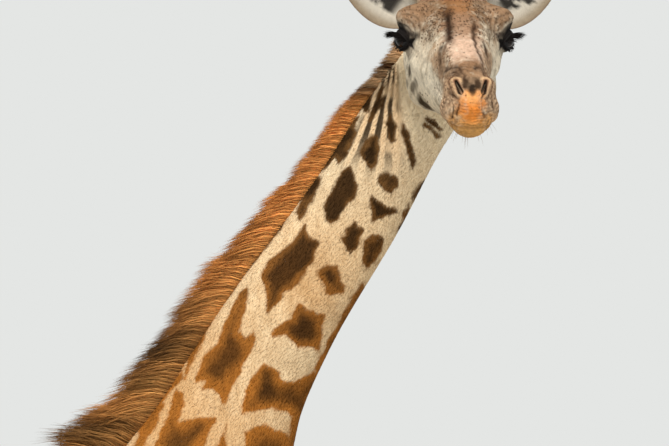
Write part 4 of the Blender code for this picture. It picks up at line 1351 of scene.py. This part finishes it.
def coat_piece(name, surface, fields, chosen, kind, sites, material):
    """Short tufts lying along the chosen part of the skin."""
    density, length, width = COATS[kind]
    verts, triangles, normals, uv = surface
    face, weight = sown(surface, chosen, density)
    corner = triangles[face]

    def at(values):
        return (values[corner] * weight.reshape(weight.shape + (1,) * (values.ndim - 1))).sum(1)

    root = at(verts)
    normal = unit(at(normals))
    part, ear_marks, on_head = fields
    part, ear_marks, on_head = part[corner[:, 0]], at(ear_marks), at(on_head)
    keep = ~bald(root, on_head, part)
    root, normal, part, ear_marks, on_head = (x[keep] for x in (root, normal, part, ear_marks, on_head))
    root_uv = (uv[face] * weight[:, :, None]).sum(1)[keep]
    count = len(root)
    way = lie_of_coat(root, part, on_head) + 0.22 * rng.normal(size=(count, 3))
    way = unit(way - normal * (way * normal).sum(1)[:, None])
    side = np.cross(normal, way)
    small = np.interp(root[:, 2], (CORONET, 0.60), (0.5, 1.0))  # shorter towards the feet
    long = length * (small * rng.uniform(0.7, 1.25, count))[:, None]
    wide = width * (small * rng.uniform(0.7, 1.2, count))[:, None]
    lift = long * (rng.uniform(0.02, 0.11, count) * (1 - 0.5 * on_head))[:, None]
    foot = root - normal * ROOT_DEPTH
    ridge = ROOT_DEPTH + wide * (0.35 - 0.15 * on_head)[:, None]
    ring = np.stack((foot + side * wide / 2, foot + normal * ridge, foot - side * wide / 2), axis=1)
    tips = root + way * long + normal * lift
    shape, faces = spikes(ring[:, None], tips)
    ground, mark, distance = paint(root, sites, part, ear_marks, on_head)
    colour = mixed(ground, mark, ramp(distance, -0.0035, 0.0035))
    vary = 0.055 + 0.105 * on_head
    colour = colour * (1 + vary * rng.uniform(-1.15, 0.85, count))[:, None]
    # painted shade at the foot of each tuft and a little painted light at its tip
    tints = np.stack((colour * 0.95, colour * 0.97, colour * 0.95, colour * 1.04), axis=1).reshape(-1, 3)
    return hair_piece(name, shape, faces, tints, root_uv, material, "hide")


def bald(points, on_head, part):
    """Where the skin is bare: lids, nostrils, the line of the lips."""
    m = mirrored_x(to_head(points))
    _, r, direction = from_eye(m)
    lid = (eye_opening(direction) < 0.22) & (r < 0.045)
    nostril, _ = nostril_away(m)
    lips = (gape(m) < 0.004) & (m[:, 1] > 0.18)
    return (part == 0) & (on_head > 0.5) & (lid | (nostril < 0.0085) | lips)


def curved_locks(paths, widths, thick, side_hint):
    """Pointed three-sided locks along paths (count, steps, xyz), widths (count, steps - 1) wide."""
    ahead = unit(np.diff(paths, axis=1))
    side = unit(np.cross(ahead, side_hint[:, None]))
    over = np.cross(side, ahead)
    base = paths[:, :-1]
    wide = widths[..., None]
    ring = np.stack((base + side * wide / 2, base + over * wide * thick, base - side * wide / 2), axis=2)
    return spikes(ring, paths[:, -1])


def graded(root_colour, tip_colour, steps, draw):
    """Tint of each vertex of a lock, from its root's colour to its tip's."""
    share = np.concatenate([np.repeat(np.arange(steps) / steps, 3), [1.0]])
    tints = mixed(root_colour[:, None], tip_colour[:, None], np.tile(share**1.6, (len(root_colour), 1)))
    return (tints * draw[:, None, None]).reshape(-1, 3)


def nearest_uv(points, surface):
    """The place on the unwrap of the skin nearest each point."""
    verts, triangles, _, uv = surface
    tree = BVHTree.FromPolygons([Vector(v) for v in verts.tolist()], triangles.tolist())
    faces = [tree.find_nearest(point)[2] for point in points]
    return uv[faces].mean(1)


def lock_piece(name, paths, widths, thick, side_hint, root_colour, tip_colour, draw, surface, *look):
    """A piece of curved locks, shaded from root to tip; look is its material, slot and nodes."""
    verts, faces = curved_locks(paths, widths, thick, side_hint)
    tints = graded(root_colour, tip_colour, widths.shape[1], draw)
    return hair_piece(name, verts, faces, tints, nearest_uv(paths[:, 0], surface), *look)


STEPS = np.array((0.0, 0.34, 0.68, 1.0))[None, :, None]  # shares of a lock's length where it has its rings


MANE_LOCKS = 9000  # on each side
MANE_SWEEP = 0.55  # how far the hair leans towards the tail
# The crest's dark stretches: height and half length.
MANE_BANDS = ((3.232, 0.062), (3.015, 0.055), (2.860, 0.050))


def mane_piece(name, sign, surface, sites, material):
    """Stiff upright hair along the crest, rusty at the root and dark at the tip."""
    count = MANE_LOCKS // 1
    share = np.sort(rng.random(count))
    place_on = MANE_RINGS[0] + share * (MANE_RINGS[1] - MANE_RINGS[0])
    i = np.minimum(place_on.astype(int), len(CREST) - 2)
    t = place_on - i
    crest = mixed(CREST[i], CREST[i + 1], t)
    throat = mixed(THROAT[i], THROAT[i + 1], t)
    side = unit(mixed(SIDE[i], SIDE[i + 1], t))
    axis = unit(mixed(AXIS[i], AXIS[i + 1], t))
    out = unit(crest - throat)
    rows = np.array(MANE)
    height = np.interp(share, rows[:, 0], rows[:, 1])
    half = np.interp(share, rows[:, 0], rows[:, 2])
    aside = sign * 0.72 * half * rng.random(count) ** 0.8
    root = crest + side * aside[:, None] - out * (0.010 + 0.5 * aside**2 / 0.08)[:, None]
    clump = noise(crest * 1.0 + side * aside[:, None] * 2, 0.022)
    outer = np.abs(aside) / half
    reach = (height + 0.012) * (0.88 + 0.46 * clump) * (1 - 0.32 * outer**2) * rng.uniform(0.86, 1.10, count)
    sweep = MANE_SWEEP + 0.35 * (noise(crest + 9, 0.05) - 0.5) + 0.10 * rng.normal(size=count)
    splay = sign * 0.14 * outer + 0.07 * rng.normal(size=count)
    start = unit(out - axis * (sweep * 0.4)[:, None] + side * splay[:, None])
    bend = -axis * (sweep * 0.9)[:, None] + side * (0.5 * splay)[:, None] - out * 0.06
    paths = root[:, None] + reach[:, None, None] * (start[:, None] * STEPS + bend[:, None] * STEPS * STEPS)
    width = 0.0030 * rng.uniform(0.7, 1.3, count)[:, None] * np.array((1.0, 0.85, 0.55))
    colours = mane_colours(crest, share, sites)
    shade = (0.62 + 0.70 * noise(root + 3, 0.009)) * rng.uniform(0.70, 1.30, count)
    return lock_piece(name, paths, width, 0.5, axis, *colours, shade, surface, material, "mane_hair", "mane")


def mane_colours(crest, share, sites):
    """Bright rust near the poll, and lower down dark and tan by turns, as the marks beside it."""
    beside = marks(crest, sites, np.zeros(len(crest)))
    dark = ramp(beside, -0.006, 0.020) * ramp(share, 0.66, 0.40)
    bright = ramp(share, 0.35, 0.70)
    ground = mixed(linear(252, 186, 108), linear(254, 178, 100), bright)
    root = mixed(ground, linear(130, 76, 32), dark * 0.60)
    tip = mixed(linear(222, 144, 72), linear(224, 138, 66), bright)
    band = np.max([bump(crest[:, 2] - middle, half) for middle, half in MANE_BANDS], axis=0)
    root = mixed(root, linear(110, 62, 26), band * 0.50)
    smoky = (0.35 + 0.65 * ramp(noise(crest, 0.06), 0.35, 0.60)) * (0.92 * (1 - bright) + 0.30 * bright)
    tan = np.maximum(bump(crest[:, 2] - 3.108, 0.036), 0.8 * bump(crest[:, 2] - 3.400, 0.050))
    smoky = np.maximum(np.maximum(dark * 0.8, smoky), band) * (1 - 0.8 * tan)
    poll = 0.95 * ramp(crest[:, 2], 3.77, 3.82)
    barred = ramp(noise(crest + 2, 0.016), 0.45, 0.62)
    root = mixed(root, mixed(linear(228, 190, 146), linear(70, 46, 28), barred), poll)
    tip = mixed(tip, linear(34, 20, 13), smoky)
    return root, mixed(tip, mixed(linear(178, 138, 100), linear(58, 38, 24), barred), poll)


TAIL_LOCKS = 2800


def tail_column(rows, at):
    """Places down the middle of the tail, and how thick it is there."""
    forward, up, radius = (np.interp(at, np.arange(len(rows)), rows[:, k]) for k in range(3))
    return np.array([place(0, f, u) for f, u in zip(forward, up)]), radius


def tail_piece(surface, material):
    """The long black hair at the end of the tail."""
    count = TAIL_LOCKS // 1
    rows = smoothed([row for row in TAIL_LINE if row[1] < TAIL_HAIR + 0.06], 60)
    share = rng.random(count) ** 1.5 * 0.62
    at = share * (len(rows) - 1)
    turn = rng.random(count) * 2 * math.pi
    out = np.column_stack((np.cos(turn), np.sin(turn), 0 * turn))
    root = tail_column(rows, at)[0] + out * 0.008
    end_at = np.minimum(1.0, share + rng.uniform(0.30, 0.62, count)) * (len(rows) - 1)
    end, radius = tail_column(rows, end_at)
    tip = end + out * (radius * rng.random(count) ** 0.5)[:, None]
    centre, radius = tail_column(rows, (at + end_at) / 2)
    bulge = centre + out * (radius * rng.uniform(0.3, 0.95, count))[:, None]
    paths = root[:, None] * (1 - STEPS) ** 2 + bulge[:, None] * 2 * STEPS * (1 - STEPS)
    paths = paths + tip[:, None] * STEPS * STEPS
    paths[:, 1:3] += rng.normal(size=(count, 2, 3)) * 0.003
    width = 0.0045 * rng.uniform(0.6, 1.2, count)[:, None] * np.array((1.0, 0.9, 0.6))
    colour = np.tile(BLACK_HAIR, (count, 1))
    draw = rng.uniform(0.7, 1.5, count)
    look = (surface, material, "tail_hair", "tail_tuft")
    return lock_piece("tail_hair", paths, width, 0.5, out + 0.01, colour * 1.2, colour, draw, *look)


# ---- eyes --------------------------------------------------------------------------------------


def slit_edge(phi):
    """Directions from the eyeball's centre to the rim of the slit."""
    ahead = SLIT_LENGTH * np.cos(phi)
    up = 0.02 + SLIT_HEIGHT * np.sign(np.sin(phi)) * np.abs(np.sin(phi)) ** 1.5
    out = np.sqrt(np.clip(1 - ahead**2 - up**2, 0.05, 1))
    return unit(ahead[:, None] * EYE_AHEAD + up[:, None] * EYE_UP + out[:, None] * EYE_FACING)


def eyeball(sign, material):
    """A glossy ball with a dark iris and a level pupil."""
    polar = np.linspace(0.02, math.pi - 0.02, 48)
    turn = np.arange(72) / 72 * 2 * math.pi
    direction = (
        np.cos(polar)[:, None, None] * EYE_FACING
        + (np.sin(polar)[:, None] * np.cos(turn))[..., None] * EYE_AHEAD
        + (np.sin(polar)[:, None] * np.sin(turn))[..., None] * EYE_UP
    )
    cornea = 0.0012 * ramp(polar, 0.65, 0.2)
    points = EYE_CENTRE + direction * (EYE_RADIUS + cornea)[:, None, None]
    points = points * (sign, 1, 1)
    verts, faces = tube(from_head(points))
    flat = direction.reshape(-1, 3)
    ahead = flat @ EYE_AHEAD
    up = flat @ EYE_UP
    edge = np.hypot(ahead / 0.30, up / 0.15)
    radius = np.hypot(ahead, up)
    colour = mixed(linear(34, 22, 16), linear(7, 6, 6), ramp(edge, 1.25, 0.85))
    colour = mixed(colour, linear(16, 11, 9), ramp(radius, 0.50, 0.62))
    colour[(flat @ EYE_FACING) < 0] = linear(20, 13, 10)
    side = "left" if sign > 0 else "right"
    obj = mesh_object(f"eye_ball_{side}", verts, faces)
    store(obj.data, "tint", colour)
    return dressed(obj, material, "eye", f"eye_{side}")


def lid_rims(material):
    """The dark wet edge of each pair of lids."""
    shapes = []
    phi = np.linspace(0, 2 * math.pi, 120, endpoint=False)
    direction = slit_edge(phi)
    centre = EYE_CENTRE + direction * (EYE_RADIUS + 0.0016)
    ahead = unit(np.roll(centre, -1, axis=0) - np.roll(centre, 1, axis=0))
    side = np.cross(ahead, direction)
    turn = np.arange(8) / 8 * 2 * math.pi
    around = np.cos(turn)[None, :, None] * side[:, None] + np.sin(turn)[None, :, None] * direction[:, None]
    ring = centre[:, None] + 0.0024 * around
    ring = np.concatenate([ring, ring[:1]])
    for sign in (1, -1):
        shapes.append(tube(from_head(ring * (sign, 1, 1))))
    return dressed(mesh_object("lid_rims", *joined(shapes)), material, "hide")


# On each lid: how many lashes, the span of the slit's edge that they stand on, their length, aim and droop.
LASHES = (
    (170, (0.35, 2.85), 0.031, (0.75, 0.10, -0.05), (0.0, 0.05, -0.14)),
    (60, (3.5, 5.8), 0.008, None, (0.0, 0.05, -0.25)),
)


def lashes(surface, material):
    """Long lashes on the upper lid, pointing out and forward and drooping, and short ones below."""
    paths = []
    for sign in (1, -1):
        for count, span, length, aim, droop in LASHES:
            phi = rng.uniform(*span, count)
            direction = slit_edge(phi)
            root = EYE_CENTRE + direction * (EYE_RADIUS + 0.0022)
            aim = direction - 0.4 * EYE_UP if aim is None else np.array(aim)
            out = unit(0.35 * direction + aim + 0.09 * rng.normal(size=(count, 3)))
            reach = length * (0.6 + 0.4 * np.abs(np.sin(phi))) * rng.uniform(0.75, 1.1, count)
            curve = out[:, None] * STEPS + np.array(droop) * STEPS * STEPS
            path = root[:, None] + reach[:, None, None] * curve
            paths.append(from_head(path * (sign, 1, 1)))
    paths = np.concatenate(paths)
    count = len(paths)
    widths = np.tile((0.0011, 0.0010, 0.0007), (count, 1))
    hint = np.tile((0.0, 0.0, 1.0), (count, 1))
    black = np.tile(NEAR_BLACK, (count, 1))
    look = (surface, material, "hide")
    return lock_piece("lashes", paths, widths, 0.8, hint, black, black, np.ones(count), *look)


WHISKERS = 34


def whiskers(surface, material):
    """A few stiff hairs under the chin and on the lips."""
    verts, _, normals, _ = surface
    h = to_head(verts)
    near = np.flatnonzero((h[:, 1] > 0.32) & (h[:, 2] < -0.075) & (h[:, 1] < 0.40))
    chosen = near[rng.permutation(len(near))[:WHISKERS]]
    root = verts[chosen]
    way = unit(normals[chosen] + np.array((0, 0, -0.8)))
    count = len(root)
    reach = rng.uniform(0.010, 0.022, count)[:, None, None]
    paths = root[:, None] + reach * (way[:, None] * STEPS + np.array((0, 0, -0.3)) * STEPS * STEPS)
    widths = np.tile((0.0006, 0.0005, 0.0004), (count, 1))
    hint = np.tile((0.3, 0.9, 0.1), (count, 1))
    tone = np.tile(linear(150, 118, 84), (count, 1))
    look = (surface, material, "hide")
    return lock_piece("whiskers", paths, widths, 0.8, hint, tone, tone, np.ones(count), *look)


# ---- horns and hooves --------------------------------------------------------------------------


def horn(sign, material, surface, hair):
    """One ossicone: a hairy post, thick at the foot, knobbed at the tip, with black hair round the top."""
    foot = np.array(OSSICONE_FOOT) * (sign, 1, 1)
    reach = np.array(OSSICONE_TIP) * (sign, 1, 1) - foot
    shares = np.linspace(0, 1, 60)
    radius = np.interp(shares, *OSSICONE.T) - 0.0015
    radius[-6:] *= np.sqrt(1 - (np.arange(6) / 6.2) ** 2)
    side = unit(np.cross(reach, (0, 1.0, 0.2)))
    over = unit(np.cross(side, reach))
    middle = foot + shares[:, None] * reach
    half = over * radius[:, None]
    points = rings(middle + half, middle - half, np.tile(side, (60, 1)), radius)
    word = "left" if sign > 0 else "right"
    obj = mesh_object(f"horn_{word}", *tube(from_head(points)))
    share = np.repeat(shares, points.shape[1])
    tone = mixed(linear(176, 150, 122), linear(46, 36, 30), ramp(share, 0.62, 0.86))
    store(obj.data, "tint", tone)
    dressed(obj, material, "ossicone", f"ossicone_{word}")
    return horn_hair(word, foot, reach, side, over, surface, hair)


HORN_TUFTS = 1700


def horn_hair(word, foot, reach, side, over, surface, material):
    """Short hair up the horn, pale below and black and longer round the knob."""
    count = HORN_TUFTS // 1
    share = rng.uniform(0.12, 1.0, count)
    turn = rng.random(count) * 2 * math.pi
    radius = np.interp(share, *OSSICONE.T) - 0.002
    out = np.cos(turn)[:, None] * side + np.sin(turn)[:, None] * over
    root = foot + share[:, None] * reach + out * radius[:, None]
    long = np.interp(share, (0.0, 0.6, 0.9, 1.0), (0.008, 0.010, 0.018, 0.014))
    long = long * rng.uniform(0.7, 1.2, count)
    way = unit(unit(reach) + out * 0.25 + 0.12 * rng.normal(size=(count, 3)))
    curve = way[:, None] * STEPS + out[:, None] * 0.10 * STEPS * STEPS
    paths = from_head(root[:, None] + long[:, None, None] * curve)
    width = np.tile((0.0027, 0.0022, 0.0013), (count, 1))
    black = ramp(share + 0.1 * rng.normal(size=count), 0.60, 0.80)
    tone = mixed(linear(180, 152, 122), linear(34, 27, 24), black)
    hint = out @ HEAD_AXES.T + 0.01
    look = (rng.uniform(0.8, 1.2, count), surface, material, "ossicone")
    return lock_piece(f"horn_hair_{word}", paths, width, 0.5, hint, tone, tone * 0.9, *look)


def hoof_piece(node, material):
    """The hoof's own shape with its edges worn round."""
    name = f"{node}_worn"
    mesh = evened(placed(name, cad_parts[node].data.copy()), HOOF_VOXEL, HOOF_SMOOTHING)
    mesh.materials.clear()
    mesh.shade_smooth()
    return dressed(placed(name, mesh), material, "hoof", node)


# ---- materials ---------------------------------------------------------------------------------


def new_material(name, roughness, specular=0.35):
    material = bpy.data.materials.new(name)
    material.use_nodes = True
    shader = material.node_tree.nodes["Principled BSDF"]
    shader.inputs["Roughness"].default_value = roughness
    shader.inputs["Specular IOR Level"].default_value = specular
    return material, material.node_tree.nodes, material.node_tree.links, shader


def attribute_node(nodes, name):
    node = nodes.new("ShaderNodeAttribute")
    node.attribute_name = name
    return node


def noise_node(nodes, links, coordinates, scale, detail=2.0):
    node = nodes.new("ShaderNodeTexNoise")
    node.inputs["Scale"].default_value = scale
    node.inputs["Detail"].default_value = detail
    links.new(coordinates, node.inputs["Vector"])
    return node


def add_bump(nodes, links, shader, height, strength, distance):
    """Lets a height stand out of the surface."""
    node = nodes.new("ShaderNodeBump")
    node.inputs["Strength"].default_value = strength
    node.inputs["Distance"].default_value = distance
    links.new(height, node.inputs["Height"])
    links.new(node.outputs["Normal"], shader.inputs["Normal"])


def hide_material():
    """Ground and marks parted along a ragged line, with short flat hair as bump."""
    material, nodes, links, shader = new_material("hide", 0.82, 0.10)
    place_node = nodes.new("ShaderNodeTexCoord")
    ragged = noise_node(nodes, links, place_node.outputs["Object"], 260, 3.0)
    shift = nodes.new("ShaderNodeMath")
    shift.operation = "MULTIPLY_ADD"
    links.new(ragged.outputs["Fac"], shift.inputs[0])
    shift.inputs[1].default_value = 0.008
    links.new(attribute_node(nodes, "edge").outputs["Fac"], shift.inputs[2])
    share = nodes.new("ShaderNodeMapRange")
    share.interpolation_type = "SMOOTHSTEP"
    share.inputs["From Min"].default_value = 0.0005
    share.inputs["From Max"].default_value = 0.0075
    links.new(shift.outputs["Value"], share.inputs["Value"])
    mix = nodes.new("ShaderNodeMix")
    mix.data_type = "RGBA"
    links.new(share.outputs["Result"], mix.inputs["Factor"])
    links.new(attribute_node(nodes, "ground").outputs["Color"], mix.inputs["A"])
    links.new(attribute_node(nodes, "mark").outputs["Color"], mix.inputs["B"])
    links.new(mix.outputs["Result"], shader.inputs["Base Color"])
    stretch = nodes.new("ShaderNodeMapping")
    stretch.inputs["Scale"].default_value = (1.0, 1.0, 0.35)
    links.new(place_node.outputs["Object"], stretch.inputs["Vector"])
    hairs = noise_node(nodes, links, stretch.outputs["Vector"], 520, 2.0)
    add_bump(nodes, links, shader, hairs.outputs["Fac"], 0.45, 0.002)
    return material


def tinted_material(name, roughness, specular):
    """A material that takes its colour from each vertex."""
    material, nodes, links, shader = new_material(name, roughness, specular)
    links.new(attribute_node(nodes, "tint").outputs["Color"], shader.inputs["Base Color"])
    return material


def plain_material(name, colour, roughness, specular):
    material, _, _, shader = new_material(name, roughness, specular)
    shader.inputs["Base Color"].default_value = (*colour, 1)
    return material


def hoof_material():
    """Dark horn with growth rings round it."""
    material, nodes, links, shader = new_material("hoof_horn", 0.52, 0.35)
    place_node = nodes.new("ShaderNodeTexCoord")
    wave = nodes.new("ShaderNodeTexWave")
    wave.bands_direction = "Z"
    wave.inputs["Scale"].default_value = 34
    wave.inputs["Distortion"].default_value = 3.0
    wave.inputs["Detail"].default_value = 2.0
    links.new(place_node.outputs["Object"], wave.inputs["Vector"])
    grain = noise_node(nodes, links, place_node.outputs["Object"], 60, 4.0)
    tones = nodes.new("ShaderNodeValToRGB")
    tones.color_ramp.elements[0].color = (*linear(58, 48, 42), 1)
    tones.color_ramp.elements[1].color = (*linear(112, 96, 80), 1)
    links.new(grain.outputs["Fac"], tones.inputs["Fac"])
    links.new(tones.outputs["Color"], shader.inputs["Base Color"])
    add_bump(nodes, links, shader, wave.outputs["Fac"], 0.35, 0.0015)
    return material


# ---- the whole animal --------------------------------------------------------------------------

hide = hide_material()
coat = tinted_material("coat_hair", 0.85, 0.08)
mane_hair = tinted_material("mane_hair", 0.65, 0.14)
tail_hair = tinted_material("tail_hair", 0.45, 0.40)
horn_skin = tinted_material("horn_skin", 0.75, 0.25)
eye_wet = tinted_material("eye_wet", 0.10, 0.25)
lid_dark = plain_material("lid_dark", NEAR_BLACK, 0.60, 0.12)
hoof_horn = hoof_material()

skin, part, ear_marks, on_head = whole_skin()
unwrap(skin)
surface = skin_surface(skin)
sites = scattered_sites(surface[0])
ground, mark, distance = paint(surface[0], sites, part, ear_marks, on_head)
store(skin.data, "ground", ground)
store(skin.data, "mark", mark)
store(skin.data, "edge", distance)
FLESH = ["head", "neck_upper", "neck_lower", "trunk", "tail", "ear_left", "ear_right"]
for leg_name in ("foreleg_upper", "foreleg_lower", "hindleg_upper", "hindleg_lower"):
    FLESH += [f"{leg_name}_left", f"{leg_name}_right"]
dressed(skin, hide, "hide", *FLESH)

fields = (part, ear_marks, on_head)
triangles = surface[1]
middles = surface[0][triangles].mean(1)
left = middles[:, 0] > -ORIGIN_ACROSS
is_face = on_head[triangles].mean(1) > 0.5
is_neck = ~is_face & neck(middles)
is_leg = middles[:, 2] < LEG_TO
is_trunk = ~is_face & ~is_neck & ~is_leg
front = middles[:, 1] < SHOULDER_TO
shod = middles[:, 2] < CORONET
AREAS = (  # pieces of the coat by name: where each grows, what parts it into left and right, and its kind
    ("face", is_face, to_head(middles)[:, 0] > 0, "face"),
    ("neck", is_neck, left, "neck"),
    ("shoulder", is_trunk & front, left, "trunk"),
    ("rump", is_trunk & ~front, left, "trunk"),
    ("legs", is_leg & ~shod, left, "leg"),
)
for name, area, on_left, kind in AREAS:
    coat_piece(f"coat_{name}_left", surface, fields, area & on_left, kind, sites, coat)
    coat_piece(f"coat_{name}_right", surface, fields, area & ~on_left, kind, sites, coat)
mane_piece("mane_left", 1, surface, sites, mane_hair)
mane_piece("mane_right", -1, surface, sites, mane_hair)
tail_piece(surface, tail_hair)
for sign in (1, -1):
    eyeball(sign, eye_wet)
lid_rims(lid_dark)
lashes(surface, coat)
whiskers(surface, coat)
for sign in (1, -1):
    horn(sign, horn_skin, surface, coat)
for node in sorted(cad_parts):
    if node.startswith("hoof_"):
        hoof_piece(node, hoof_horn)

# ---- stage, light and camera -------------------------------------------------------------------

CAMERA_FROM = 15.0  # metres back from the neck
CAMERA_DIP = math.radians(-2.0)
VIEW_WIDE = 1.505  # how much is seen across at the neck
VIEW_CENTRE = (0, 1.330, 3.506)
FLOOR_RADIUS = 60
SKY = (0.776, 0.79, 0.776, 1)
SUN_WAY = (0.74, -0.13, -0.95)
SUN_STRENGTH = 2.4


def stage():
    bpy.ops.mesh.primitive_circle_add(vertices=96, radius=FLOOR_RADIUS, fill_type="NGON", location=(0, 0, 0))
    floor = bpy.context.object
    floor.name = "floor"
    floor.data.materials.append(plain_material("floor_pale", linear(196, 197, 195), 0.9, 0.1))


def light():
    world = bpy.data.worlds.new("sky")
    bpy.context.scene.world = world
    world.use_nodes = True
    background = world.node_tree.nodes["Background"]
    background.inputs["Color"].default_value = SKY
    background.inputs["Strength"].default_value = 1.0
    sun = placed("sun", bpy.data.lights.new("sun", "SUN"))
    sun.data.energy = SUN_STRENGTH
    sun.data.angle = math.radians(12)
    sun.data.color = (1.0, 0.97, 0.92)
    sun.rotation_euler = Vector(SUN_WAY).to_track_quat("-Z", "Y").to_euler()


def camera():
    target = Vector(place(*VIEW_CENTRE))
    away = Vector((-CAMERA_FROM * math.cos(CAMERA_DIP), 0, CAMERA_FROM * math.sin(CAMERA_DIP)))
    data = bpy.data.cameras.new("camera")
    data.sensor_width = 36
    data.lens = 36 * CAMERA_FROM / VIEW_WIDE
    data.clip_end = 500
    obj = placed("camera", data)
    obj.location = target + away
    obj.rotation_euler = (-away).to_track_quat("-Z", "Y").to_euler()
    bpy.context.scene.camera = obj


stage()
light()
camera()
bpy.context.scene.view_settings.view_transform = "Standard"
